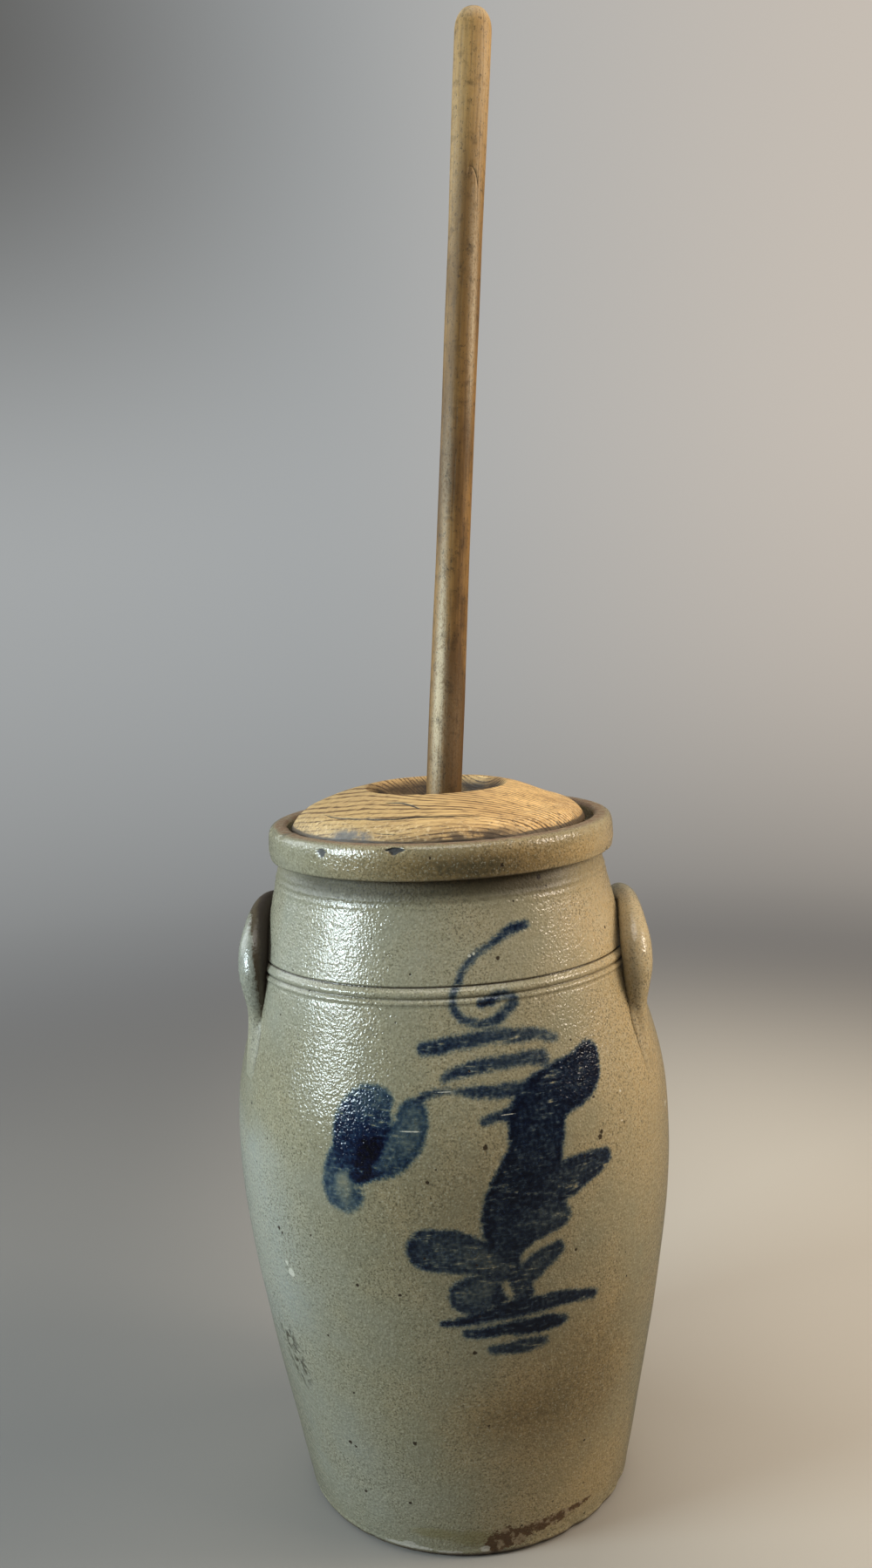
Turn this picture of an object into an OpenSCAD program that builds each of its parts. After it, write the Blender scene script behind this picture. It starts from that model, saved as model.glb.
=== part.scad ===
// Stoneware butter churn: a thrown crock with two clay lugs, a turned wooden
// lid, and a dasher whose long staff leans in the lid's hole.
// Millimetres, +Z up. The origin is the middle of the flat base, the decorated
// front faces -Y and the lugs stand on the left (-X) and right (+X).

/* [Crock] */
// Height from the flat base to the rim
crock_h = 483; // [476:1:490]
// Radius just above the rounded foot
heel_r = 117; // [112:0.5:122]
// Rounding of the foot's edge
foot_round = 6.5; // [4:0.5:9]
// Radius at the belly
belly_r = 154; // [148:0.5:158]
// Height of the belly
belly_h = 250; // [235:1:265]
// Radius of the neck where it meets the collar
neck_r = 111; // [109:0.5:112]
// Thickness of the wall
wall_t = 9; // [7:0.5:10]
// Thickness of the floor
floor_t = 12; // [9:0.5:14]

/* [Rim] */
// Outer radius of the collar round the rim
collar_r = 120.5; // [119:0.5:123]
// Height of the collar
collar_band = 22.6; // [20:0.2:25]
// Inner radius of the mouth, above the lid's ledge
mouth_r = 107.5; // [106.5:0.5:108.5]
// Inner radius of the throat, below the ledge
throat_r = 98.5; // [96:0.5:99.5]
// Depth of the ledge below the rim
ledge_d = 12; // [10:0.5:14]

/* [Beads] */
// Height of the upper bead round the shoulder
bead_z = 391; // [386:0.5:396]
// Section radius of the upper bead
bead_r = 2.9; // [2:0.1:3.5]
// Section radius of the lower bead
small_bead_r = 1.7; // [1.2:0.1:2]

/* [Lugs] */
// Height of the arch's middle above the base
lug_top = 417.5; // [412:0.5:420]
// Half of the arch's width, between the middles of its legs
lug_half = 59.5; // [54:0.5:64]
// Height of the arch, from its middle down to its feet
lug_drop = 88; // [80:1:94]
// Half of the roll's thickness at the middle of the arch
lug_thick = 8; // [7:0.5:9.5]
// How much higher the left lug was set
left_lug_lift = 6; // [0:0.5:8]
// How far back the left lug was turned, in degrees
left_lug_turn = 5; // [0:0.5:8]

/* [Lid] */
// Radius of the lid
lid_r = 103; // [101.5:0.5:104]
// Height of the lid's lip above the ledge it rests on
lid_h = 34.7; // [32:0.1:37]
// Radius of the lip round the dished middle
lip_r = 50; // [46:0.5:54]
// Thickness of the wood at the staff's hole
hole_wood = 16; // [13:0.5:18]
// Radius of the hole for the staff
hole_r = 17; // [16.7:0.1:18]
// How far the lid sits to the left in the mouth
lid_left = 1.5; // [0.5:0.1:2]

/* [Dasher] */
// Height of the staff's top above the rim, along the staff
staff_above = 532; // [480:1:560]
// Lean of the staff to the right, in degrees
staff_lean = 4.8; // [4.6:0.1:5]
// Place of the staff's middle to the right, at the height of the rim
staff_x = 2.1; // [1.6:0.1:2.4]
// Radius of the staff
staff_r = 12.5; // [12:0.1:12.7]
// Radius at the staff's slender middle
staff_waist_r = 11.6; // [11:0.1:12.2]
// Length of each board of the cross
board_len = 136; // [110:1:140]
// Width of each board
board_w = 36; // [32:0.5:40]
// Thickness of each board
board_t = 18; // [16:0.5:20]
// Radius of the tenon that goes through the cross
tenon_r = 9.5; // [8.5:0.5:10]
// Radius of the pegs through the lap
peg_r = 2.5; // [2:0.25:3]

/* [Hidden] */
clay = [0.60, 0.57, 0.46];
clay_lug = [0.55, 0.50, 0.38];
lid_wood = [0.72, 0.54, 0.31];
staff_wood = [0.66, 0.50, 0.32];
board_wood = [0.56, 0.41, 0.25];
peg_wood = [0.45, 0.31, 0.18];

neck_z = crock_h - collar_band;
ledge_z = crock_h - ledge_d;
curve_steps = 14;

// Points of a cubic curve from a to d, pulled towards b and c
function bezier(a, b, c, d, n) =
    [for (i = [0 : n]) let (t = i / n)
        pow(1 - t, 3) * a + 3 * pow(1 - t, 2) * t * b + 3 * (1 - t) * t * t * c + pow(t, 3) * d];

// Points of an arc about c with radius r, from angle a0 to a1
function arc(c, r, a0, a1, n) =
    [for (i = [0 : n]) let (a = a0 + (a1 - a0) * i / n) c + r * [cos(a), sin(a)]];

// Outside of the wall, from the foot to the belly and from the belly to the neck,
// as [radius, height]; inset moves the outline inwards for the inside of the wall
function wall_low(inset, z0) =
    bezier([heel_r - inset, z0], [heel_r + 12 - inset, 66],
           [belly_r - inset, belly_h - 58], [belly_r - inset, belly_h], curve_steps);
function wall_up(inset, z1) =
    bezier([belly_r - inset, belly_h], [belly_r - inset, belly_h + 80],
           [belly_r - 9 - inset, belly_h + 62], [neck_r - inset, z1], curve_steps);

outside = concat(wall_low(0, foot_round), wall_up(0, neck_z));
radius_at = [for (p = outside) [p[1], p[0]]];

// The crock's outer shape, from the base up to the collar
module wall_outline() {
    foot = [heel_r - foot_round, foot_round];
    polygon(concat([[0, 0]], arc(foot, foot_round, -90, -8, 5), outside, [[0, neck_z]]));
}

// The collar: square below, rounded above, with its inner corner eased
module collar_outline() {
    shoulder = 6;
    ease = 3;
    taper = 0.8;
    polygon(concat(
        [[throat_r + 2, neck_z - 1], [collar_r - taper, neck_z], [collar_r, neck_z + 6]],
        arc([collar_r - shoulder, crock_h - shoulder], shoulder, 0, 90, 6),
        arc([mouth_r + ease, crock_h - ease], ease, 90, 180, 4),
        [[mouth_r, ledge_z], [throat_r + 2, ledge_z]]));
}

// The hollow inside, from the rounded bottom corner up to the ledge
module hollow_outline() {
    corner = 14;
    bottom_r = heel_r - wall_t - corner + 2;
    polygon(concat(
        [[0, floor_t]],
        arc([bottom_r, floor_t + corner], corner, -90, -20, 6),
        [for (p = wall_low(wall_t, 40)) if (p[1] > floor_t + corner) p],
        wall_up(wall_t, neck_z - 12),
        bezier([throat_r + 1, neck_z - 6], [throat_r, neck_z - 2], [throat_r, neck_z + 2],
               [throat_r, ledge_z - 2], 5),
        [[throat_r + 2, ledge_z], [mouth_r, ledge_z], [mouth_r, crock_h + 1], [0, crock_h + 1]]));
}

// Ring with a round section, for the beads and the grooves beside them
module ring(z, section, proud) {
    rotate_extrude($fn = 180)
        translate([lookup(z, radius_at) + proud - section, z]) circle(r = section, $fn = 24);
}

// The whole outside, with the beads, that the lugs are pressed against
module outer_body() {
    rotate_extrude($fn = 180) wall_outline();
    ring(bead_z, bead_r, 1.2);
    ring(bead_z - bead_r - small_bead_r - 0.6, small_bead_r, 0.7);
}

module crock() {
    groove_r = 1.1;
    color(clay) difference() {
        union() {
            outer_body();
            rotate_extrude($fn = 180) collar_outline();
        }
        rotate_extrude($fn = 180) hollow_outline();
        ring(bead_z + bead_r + 0.8, groove_r, 0.5);
        ring(bead_z - bead_r - 0.4, 0.5, 0.3);
    }
}

// Half of a lug's path: distance from the middle, drop below the middle, how far the
// roll's middle stands off the wall, and half of its thickness
lug_half_path = [
    [0, 0, 9.5, lug_thick],
    [lug_half * 0.3, 1.2, 9.5, lug_thick],
    [lug_half * 0.58, 6, 9.8, lug_thick + 0.6],
    [lug_half * 0.84, 18, 10.4, lug_thick + 1.4],
    [lug_half * 0.98, 36, 9.6, lug_thick + 1.4],
    [lug_half, 54, 5.8, lug_thick + 0.6],
    [lug_half + 0.5, 70, 3.2, lug_thick - 0.6],
    [lug_half + 2, lug_drop, 0.6, lug_thick - 2.8],
];
lug_steps = 4;
lug_sides = 16;
lug_broad = 1.2;

// Both halves of the path, front foot first, with y running to the back
lug_path = concat(
    [for (i = [len(lug_half_path) - 1 : -1 : 1]) let (p = lug_half_path[i]) [-p[0], p[1], p[2], p[3]]],
    lug_half_path);

// Smooth curve through the points k, with n steps between each two
function blend(p, q, r, s, t) =
    0.5 * (2 * q + (r - p) * t + (2 * p - 5 * q + 4 * r - s) * t * t + (3 * q - p - 3 * r + s) * t * t * t);
function through(k, n) = concat(
    [for (i = [0 : len(k) - 2]) for (j = [0 : n - 1])
        blend(k[max(i - 1, 0)], k[i], k[i + 1], k[min(i + 2, len(k) - 1)], j / n)],
    [k[len(k) - 1]]);

// Place of a path point in space, on the right of a crock whose lug is set at height top
function lug_place(p, top) =
    let (z = top - p[1], r = lookup(z, radius_at) + p[2]) [sqrt(r * r - p[0] * p[0]), p[0], z];

function unit(v) = v / norm(v);

// One ring of the roll: an oval across the path, thinner outwards than along the wall
function lug_ring(here, along, half) =
    let (out = unit([here[0], here[1], 0]),
         side = unit(cross(along, out)),
         up = unit(cross(side, along)))
    [for (j = [0 : lug_sides - 1]) let (a = 360 * j / lug_sides)
        here + half * cos(a) * up + half * lug_broad * sin(a) * side];

module lug_roll(top) {
    path = through(lug_path, lug_steps);
    places = [for (p = path) lug_place(p, top)];
    last = len(places) - 1;
    rings = [for (i = [0 : last])
        lug_ring(places[i], unit(places[min(i + 1, last)] - places[max(i - 1, 0)]), path[i][3])];
    points = [for (r = rings) for (p = r) p];
    sides = [for (i = [0 : last - 1]) for (j = [0 : lug_sides - 1])
        let (a = i * lug_sides + j, b = i * lug_sides + (j + 1) % lug_sides)
        [a, b, b + lug_sides, a + lug_sides]];
    ends = [[for (j = [lug_sides - 1 : -1 : 0]) j],
            [for (j = [0 : lug_sides - 1]) last * lug_sides + j]];
    polyhedron(points, concat(sides, ends), convexity = 6);
}

module handle_right() {
    color(clay_lug) difference() {
        lug_roll(lug_top);
        outer_body();
    }
}

module handle_left() {
    color(clay_lug) rotate([0, 0, 180 - left_lug_turn]) difference() {
        lug_roll(lug_top + left_lug_lift);
        outer_body();
    }
}

// The lid's section: a dome with a worn lip round a dish, and the staff's hole
module lid() {
    edge_h = 9;
    dish_z = hole_wood;
    color(lid_wood) translate([-lid_left, 0, ledge_z]) rotate_extrude($fn = 180)
        polygon(concat(
            [[hole_r, 0], [lid_r - 4, 0], [lid_r - 1, 2.5], [lid_r, edge_h]],
            bezier([lid_r, edge_h + 2], [lid_r - 9, edge_h + 13], [lip_r + 22, lid_h - 3],
                   [lip_r + 2, lid_h - 0.6], 10),
            arc([lip_r, lid_h - 2.2], 2.2, 60, 150, 3),
            bezier([lip_r - 5, lid_h - 6], [lip_r - 14, dish_z + 5], [hole_r + 12, dish_z + 0.5],
                   [hole_r + 1.5, dish_z], 8),
            [[hole_r, dish_z - 1.5]]));
}

// The staff's own frame: z = 0 is the underside of the cross, on the leaning axis.
// The cross stands half a millimetre over the floor at its lowest corner.
board_clip = 7;
board_reach = (board_len / 2 + board_w / 2 - board_clip) * sin(45);
cross_low = floor_t + board_reach * sin(staff_lean) + 0.5;
staff_dir = [sin(staff_lean), 0, cos(staff_lean)];
staff_foot = [staff_x, 0, crock_h] - ((crock_h - cross_low) / cos(staff_lean)) * staff_dir;
staff_len = (crock_h - cross_low) / cos(staff_lean) + staff_above;

module on_staff() {
    translate(staff_foot) rotate([0, staff_lean, 0]) children();
}

kerf = 2.4;
kerf_deep = 14;

module dasher_staff() {
    crown = 8;
    top_r = staff_r - 0.1;
    color(staff_wood) on_staff() difference() {
        rotate_extrude($fn = 96) polygon(concat(
            [[0, 0], [tenon_r, 0], [tenon_r, board_t], [staff_r + 2.5, board_t],
             [staff_r + 2.5, board_t + 10], [staff_r, board_t + 26],
             [staff_r, staff_len - 455], [staff_waist_r, staff_len - 355],
             [staff_waist_r, staff_len - 150], [top_r, staff_len - 45]],
            arc([top_r - crown, staff_len - crown], crown, 0, 90, 6),
            [[0, staff_len]]));
        translate([-tenon_r - 1, -kerf / 2, -1]) cube([2 * tenon_r + 2, kerf, kerf_deep + 1]);
    }
}

// Half of the lap: where one board is cut away to take the other
module lap_cut(z) {
    translate([-board_w / 2, -board_w / 2, z]) cube([board_w, board_w, board_t / 2]);
}

// A board with clipped corners, bored for the tenon and, turned by peg_turn, the pegs
module board(lap_z, peg_turn) {
    half = board_len / 2;
    w = board_w / 2;
    c = board_clip;
    difference() {
        linear_extrude(height = board_t)
            polygon([[-half, c - w], [c - half, -w], [half - c, -w], [half, c - w],
                     [half, w - c], [half - c, w], [c - half, w], [-half, w - c]]);
        lap_cut(lap_z);
        translate([0, 0, -1]) cylinder(h = board_t + 2, r = tenon_r, $fn = 64);
        rotate([0, 0, peg_turn]) pegs(1);
    }
}

// The two pegs through the lap, long enough to pass it by extra at each end
module pegs(extra) {
    out = board_w / 2 - 5;
    for (s = [-1, 1])
        translate([s * out, s * out, -extra]) cylinder(h = board_t + 2 * extra, r = peg_r, $fn = 32);
}

module cross_board_upper() {
    color(board_wood) on_staff() rotate([0, 0, 45]) board(0, 0);
}

module cross_board_lower() {
    color(board_wood) on_staff() rotate([0, 0, -45]) board(board_t / 2, 90);
}

module tenon_wedge() {
    long = sqrt(pow(2 * tenon_r, 2) - pow(kerf, 2));
    color(peg_wood) on_staff() translate([-long / 2, -kerf / 2, 0]) cube([long, kerf, kerf_deep]);
}

module lap_pegs() {
    color(peg_wood) on_staff() rotate([0, 0, 45]) pegs(0);
}

crock();
handle_left();
handle_right();
lid();
dasher_staff();
cross_board_upper();
cross_board_lower();
tenon_wedge();
lap_pegs();
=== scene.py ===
import bmesh
import bpy
import math
import numpy as np
from mathutils import Matrix, Vector, kdtree, noise


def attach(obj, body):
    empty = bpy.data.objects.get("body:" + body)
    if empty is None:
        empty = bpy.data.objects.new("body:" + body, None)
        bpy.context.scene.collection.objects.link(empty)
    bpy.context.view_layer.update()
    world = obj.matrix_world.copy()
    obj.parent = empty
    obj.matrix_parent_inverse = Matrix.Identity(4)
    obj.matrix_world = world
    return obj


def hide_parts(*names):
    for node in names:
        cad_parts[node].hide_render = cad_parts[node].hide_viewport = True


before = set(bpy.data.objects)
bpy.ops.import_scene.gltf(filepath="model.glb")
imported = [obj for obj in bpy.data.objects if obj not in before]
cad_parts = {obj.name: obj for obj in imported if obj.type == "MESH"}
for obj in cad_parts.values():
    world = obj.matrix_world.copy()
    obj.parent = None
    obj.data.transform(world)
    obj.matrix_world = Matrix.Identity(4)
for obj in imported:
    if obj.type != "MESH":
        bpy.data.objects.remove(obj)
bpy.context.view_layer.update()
mm = 0.001
print("frame loaded")


# Camera at the photograph's viewing angle, in millimetres and degrees
cameraView = {
    "distance": 938.5,
    "height": 631.1,
    "yaw": -0.10,
    "pitch": 7.64,
    "roll": -2.69,
    "focalPixels": 1550,
    "frameHeight": 1799,
}


def makeCamera(v):
    yaw, pitch, roll = (math.radians(v[name]) for name in ("yaw", "pitch", "roll"))
    forward = Vector((math.sin(yaw) * math.cos(pitch), math.cos(yaw) * math.cos(pitch), -math.sin(pitch)))
    right = Vector((math.cos(yaw), -math.sin(yaw), 0))
    up = right.cross(forward)
    sideways = math.cos(roll) * right + math.sin(roll) * up
    upwards = -math.sin(roll) * right + math.cos(roll) * up
    lens = bpy.data.cameras.new("photoCamera")
    lens.sensor_width = 36
    lens.lens = v["focalPixels"] / v["frameHeight"] * lens.sensor_width
    camera = bpy.data.objects.new("photoCamera", lens)
    camera.matrix_world = Matrix((
        (sideways.x, upwards.x, -forward.x, 0),
        (sideways.y, upwards.y, -forward.y, -v["distance"] * mm),
        (sideways.z, upwards.z, -forward.z, v["height"] * mm),
        (0, 0, 0, 1)))
    bpy.context.scene.collection.objects.link(camera)
    bpy.context.scene.camera = camera


makeCamera(cameraView)
print("camera placed")


# Curves in the radius and height plane, as lists of (radius, height) in millimetres
def bezier(a, b, c, d, steps):
    points = []
    for i in range(steps + 1):
        t = i / steps
        weights = ((1 - t) ** 3, 3 * (1 - t) ** 2 * t, 3 * (1 - t) * t * t, t ** 3)
        points.append(tuple(sum(w * p[k] for w, p in zip(weights, (a, b, c, d))) for k in (0, 1)))
    return points


def arc(centre, radius, start, end, steps):
    angles = [math.radians(start + (end - start) * i / steps) for i in range(steps + 1)]
    return [(centre[0] + radius * math.cos(t), centre[1] + radius * math.sin(t)) for t in angles]


def straight(start, end, steps):
    return [tuple(a + (b - a) * i / steps for a, b in zip(start, end)) for i in range(steps + 1)]


def withoutRepeats(points):
    return [p for i, p in enumerate(points) if i == 0 or math.dist(p, points[i - 1]) > 0.01]


# Smooth curve through points of any number of values
def curveThrough(points, steps):
    points = [np.array(p, dtype=float) for p in points]
    last = len(points) - 1
    curve = []
    for i in range(last):
        p, q, r, s = (points[min(max(k, 0), last)] for k in (i - 1, i, i + 1, i + 2))
        for j in range(steps):
            t = j / steps
            curve.append(0.5 * (2 * q + (r - p) * t + (2 * p - 5 * q + 4 * r - s) * t * t
                                + (3 * q - p - 3 * r + s) * t ** 3))
    return curve + [points[-1]]


def smoothStep(value, low, high):
    t = np.clip((value - low) / (high - low), 0, 1)
    return t * t * (3 - 2 * t)


# Spins an outline round the upright axis, in stretches of (degrees, steps) that add up to a turn
def spinOutline(outline, stretches, startAngle=0.0, closed=False):
    bm = bmesh.new()
    outwards = Vector((math.sin(math.radians(startAngle)), -math.cos(math.radians(startAngle)), 0))
    verts = [bm.verts.new(outwards * r * mm + Vector((0, 0, z * mm))) for r, z in outline]
    pairs = list(zip(verts, verts[1:])) + ([(verts[-1], verts[0])] if closed else [])
    ring = verts + [bm.edges.new(pair) for pair in pairs]
    for angle, steps in stretches:
        spun = bmesh.ops.spin(bm, geom=ring, cent=(0, 0, 0), axis=(0, 0, 1), angle=math.radians(angle),
                              steps=steps, use_merge=False)
        ring = spun["geom_last"]
    bmesh.ops.remove_doubles(bm, verts=bm.verts, dist=0.002 * mm)
    bmesh.ops.recalc_face_normals(bm, faces=bm.faces)
    return bm


# Joins ovals along a path into a closed roll. Each station is (place, up, side, half up, half across).
def loftOvals(stations, sides):
    bm = bmesh.new()
    rings = []
    for place, up, side, halfUp, halfSide in stations:
        spread = Matrix((side * halfSide, up * halfUp, side.cross(up))).transposed().to_4x4()
        made = bmesh.ops.create_circle(bm, segments=sides, radius=1, matrix=Matrix.Translation(place) @ spread)
        rings.append(list({e for v in made["verts"] for e in v.link_edges}))
    for first, second in zip(rings, rings[1:]):
        bmesh.ops.bridge_loops(bm, edges=first + second)
    for ring in (rings[0], rings[-1]):
        bmesh.ops.edgeloop_fill(bm, edges=ring)
    bmesh.ops.recalc_face_normals(bm, faces=bm.faces)
    return bm


def newPiece(name, bm):
    mesh = bpy.data.meshes.new(name)
    bm.to_mesh(mesh)
    bm.free()
    mesh.shade_smooth()
    piece = bpy.data.objects.new(name, mesh)
    bpy.context.scene.collection.objects.link(piece)
    return piece


def getPlaces(mesh):
    places = np.empty(len(mesh.vertices) * 3)
    mesh.vertices.foreach_get("co", places)
    return places.reshape(-1, 3)


def setPlaces(mesh, places):
    mesh.vertices.foreach_set("co", places.ravel())
    mesh.update()


def setAttribute(mesh, name, values):
    layer = mesh.attributes.new(name, "FLOAT", "POINT")
    layer.data.foreach_set("value", np.asarray(values, dtype=np.float32))


# Smooth noise from -1 to 1 at each place, with features of about the given size in millimetres
def noiseAt(places, size):
    scale = 1 / (size * mm)
    return np.array([noise.noise(Vector(p) * scale) for p in places])


def cutWith(piece, cutter):
    cut = piece.modifiers.new("cut", "BOOLEAN")
    cut.operation = "DIFFERENCE"
    cut.solver = "EXACT"
    cut.object = cutter
    bpy.context.view_layer.update()
    made = bpy.data.meshes.new_from_object(piece.evaluated_get(bpy.context.evaluated_depsgraph_get()))
    piece.modifiers.remove(cut)
    piece.data = made
    bpy.data.objects.remove(cutter)


def finishPiece(piece, body, node, material):
    piece.data.materials.clear()
    piece.data.materials.append(material)
    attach(piece, body)
    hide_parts(node)


# Shader helpers. Inputs are given by name or number, as plain values or as other nodes' outputs.
def addNode(tree, kind, inputs=None, **settings):
    node = tree.nodes.new("ShaderNode" + kind)
    for name, value in settings.items():
        setattr(node, name, value)
    for name, value in (inputs or {}).items():
        if isinstance(value, bpy.types.NodeSocket):
            tree.links.new(value, node.inputs[name])
        else:
            node.inputs[name].default_value = value
    return node


def maths(tree, operation, *values):
    return addNode(tree, "Math", dict(enumerate(values)), operation=operation).outputs[0]


def product(tree, *values):
    result = values[0]
    for value in values[1:]:
        result = maths(tree, "MULTIPLY", result, value)
    return result


def ramp(tree, value, low, high, newLow=0.0, newHigh=1.0):
    node = addNode(tree, "MapRange", {"Value": value, "From Min": low, "From Max": high, "To Min": newLow,
                                      "To Max": newHigh}, interpolation_type="SMOOTHSTEP")
    return node.outputs["Result"]


def blendColours(tree, factor, first, second, blend="MIX"):
    return addNode(tree, "Mix", {0: factor, 6: first, 7: second}, data_type="RGBA", blend_type=blend).outputs[2]


def grains(tree, place, size, detail=2.0, roughness=0.5):
    values = {"Vector": place, "Scale": 1 / size, "Detail": detail, "Roughness": roughness}
    return addNode(tree, "TexNoise", values).outputs["Fac"]


def stretched(tree, place, scale):
    return addNode(tree, "Mapping", {"Vector": place, "Scale": scale}).outputs[0]


def attribute(tree, name):
    return addNode(tree, "Attribute", attribute_name=name).outputs["Fac"]


# Object coordinates in millimetres, seen from the frame that the matrix gives in metres
def placeIn(tree, matrix=Matrix.Identity(4)):
    place = addNode(tree, "TexCoord").outputs["Object"]
    mapped = addNode(tree, "Mapping", {"Vector": place, "Location": matrix.to_translation(),
                                       "Rotation": matrix.to_euler()}, vector_type="TEXTURE").outputs[0]
    return addNode(tree, "VectorMath", {0: mapped, "Scale": 1000}, operation="SCALE").outputs[0]


def newGroup(name, inputs, outputs):
    group = bpy.data.node_groups.new(name, "ShaderNodeTree")
    for socketName, kind, value in inputs:
        socket = group.interface.new_socket(socketName, in_out="INPUT", socket_type="NodeSocket" + kind)
        if value is not None:
            socket.default_value = value
    for socketName in outputs:
        group.interface.new_socket(socketName, in_out="OUTPUT", socket_type="NodeSocketFloat")
    return group, group.nodes.new("NodeGroupInput").outputs, group.nodes.new("NodeGroupOutput").inputs


def useGroup(tree, group, inputs):
    node = addNode(tree, "Group", node_tree=group)
    for name, value in inputs.items():
        if isinstance(value, bpy.types.NodeSocket):
            tree.links.new(value, node.inputs[name])
        else:
            node.inputs[name].default_value = value
    return node.outputs


def newMaterial(name):
    material = bpy.data.materials.new(name)
    material.use_nodes = True
    tree = material.node_tree
    tree.nodes.clear()
    shader = addNode(tree, "BsdfPrincipled")
    tree.links.new(shader.outputs[0], addNode(tree, "OutputMaterial").inputs[0])
    return material, tree, shader


def plug(tree, shader, inputs):
    for name, value in inputs.items():
        if isinstance(value, bpy.types.NodeSocket):
            tree.links.new(value, shader.inputs[name])
        else:
            shader.inputs[name].default_value = value


def bumpFrom(tree, height, depth):
    return addNode(tree, "Bump", {"Height": height, "Distance": depth * mm, "Strength": 1.0}).outputs[0]


# Salt glaze: an orange peel skin, throwing marks, mottling, fine grain and iron specks. Sizes in millimetres.
def makeSaltGlazeGroup():
    group, given, result = newGroup(
        "saltGlazeSkin",
        [("Place", "Vector", None), ("Peel", "Float", 2.0), ("Throwing", "Float", 0.5)],
        ["Mottle", "Cloud", "Grain", "Speck", "Height"])
    place = given["Place"]
    peelScale = maths(group, "DIVIDE", 1.0, given["Peel"])
    lumps = addNode(group, "TexNoise", {"Vector": place, "Scale": peelScale, "Detail": 1.5, "Roughness": 0.5})
    cells = addNode(group, "TexVoronoi", {"Vector": place, "Scale": peelScale, "Smoothness": 0.5},
                    feature="SMOOTH_F1")
    marks = grains(group, stretched(group, place, (0.06, 0.06, 0.32)), 1.0, 2.0)
    dots = addNode(group, "TexVoronoi", {"Vector": place, "Scale": 1 / 11})
    chosen = addNode(group, "SeparateColor", {0: dots.outputs["Color"]}).outputs[0]
    chosen = ramp(group, chosen, 0.55, 0.95, 0.0, 0.075)
    speck = ramp(group, maths(group, "SUBTRACT", chosen, dots.outputs["Distance"]), -0.012, 0.012)
    height = maths(group, "SUBTRACT", lumps.outputs["Fac"], product(group, cells.outputs["Distance"], 0.5))
    height = maths(group, "ADD", height, product(group, marks, given["Throwing"]))
    group.links.new(grains(group, place, 2.6, 4.0, 0.65), result["Mottle"])
    group.links.new(grains(group, place, 42, 3.0, 0.55), result["Cloud"])
    group.links.new(grains(group, place, 1.3, 2.0, 0.65), result["Grain"])
    group.links.new(speck, result["Speck"])
    group.links.new(height, result["Height"])
    return group


# Wood with its grain along X. Layer is the distance across the growth layers. Sizes in millimetres.
def makeWoodGroup():
    group, given, result = newGroup(
        "woodGrain",
        [("Place", "Vector", None), ("Layer", "Float", 0.0), ("Spacing", "Float", 2.0), ("Waves", "Float", 2.0),
         ("Width", "Float", 0.25)],
        ["Line", "Fibre", "Cloud", "Height"])
    place = given["Place"]
    broadWave = maths(group, "SUBTRACT", grains(group, stretched(group, place, (0.02, 0.04, 0.04)), 1.0, 2.0), 0.5)
    fineWave = maths(group, "SUBTRACT", grains(group, stretched(group, place, (0.07, 0.4, 0.4)), 1.0, 2.0), 0.5)
    shift = product(group, maths(group, "ADD", product(group, broadWave, 5.0), product(group, fineWave, 0.6)), given["Waves"])
    count = maths(group, "DIVIDE", maths(group, "ADD", given["Layer"], shift), given["Spacing"])
    offLine = maths(group, "ABSOLUTE", maths(group, "SUBTRACT", maths(group, "FRACT", count), 0.5))
    whole = addNode(group, "TexWhiteNoise", {"W": maths(group, "FLOOR", count)}, noise_dimensions="1D")
    breaks = grains(group, stretched(group, place, (0.06, 0.3, 0.3)), 1.0, 3.0)
    line = product(group, ramp(group, offLine, given["Width"], 0.03),
                   ramp(group, whole.outputs["Value"], 0.0, 1.0, 0.4, 1.0), ramp(group, breaks, 0.35, 0.55, 0.3, 1.0))
    fibre = grains(group, stretched(group, place, (0.035, 1.4, 1.4)), 1.0, 3.0, 0.6)
    breaks = grains(group, stretched(group, place, (0.05, 0.25, 0.25)), 1.0, 2.0)
    line = product(group, line, ramp(group, breaks, 0.3, 0.6, 0.35, 1.0))
    height = maths(group, "SUBTRACT", product(group, fibre, 0.5), product(group, line, 0.8))
    group.links.new(line, result["Line"])
    group.links.new(fibre, result["Fibre"])
    group.links.new(grains(group, stretched(group, place, (0.018, 0.05, 0.05)), 1.0, 3.0), result["Cloud"])
    group.links.new(height, result["Height"])
    return group


saltGlazeGroup = makeSaltGlazeGroup()
woodGroup = makeWoodGroup()
print("shared shader groups built")


# The crock, in millimetres and degrees. Azimuth 0 is the front and grows to the right.
crock = {
    "height": 483,
    "foot": (110.5, 6.5),
    "low": [(117, 6.5), (129, 66), (154, 192), (154, 250)],
    "high": [(154, 250), (154, 330), (145, 312), (111, 460.4)],
    "wall": 9,
    "floor": 12,
    "neckHeight": 460.4,
    "collarRadius": 120.5,
    "mouthRadius": 107.5,
    "throatRadius": 98.5,
    "ledgeHeight": 471,
    "beads": [(391, 2.9, 1.2), (385.6, 1.9, 0.8)],
    "grooves": [(394.9, 0.6, 1.1), (388.0, 0.5, 0.7), (382.9, 0.7, 0.2)],
    "ridges": [(447.2, 1.4, 0.50), (442.6, 1.3, 0.30), (452.5, 1.6, 0.15), (433, 2.2, 0.12)],
    "stretches": [(92, 148), (84, 48), (100, 26), (84, 48)],
    "startAngle": -46,
    "wobble": 0.7,
    "leftFullness": 2.8,
}


# Wall radius with its beads and grooves, at each height
def wallRadius(heights, v=crock):
    outline = bezier(*v["low"], 60) + bezier(*v["high"], 60)[1:]
    radii = np.interp(heights, [p[1] for p in outline], [p[0] for p in outline])
    return radii


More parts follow.
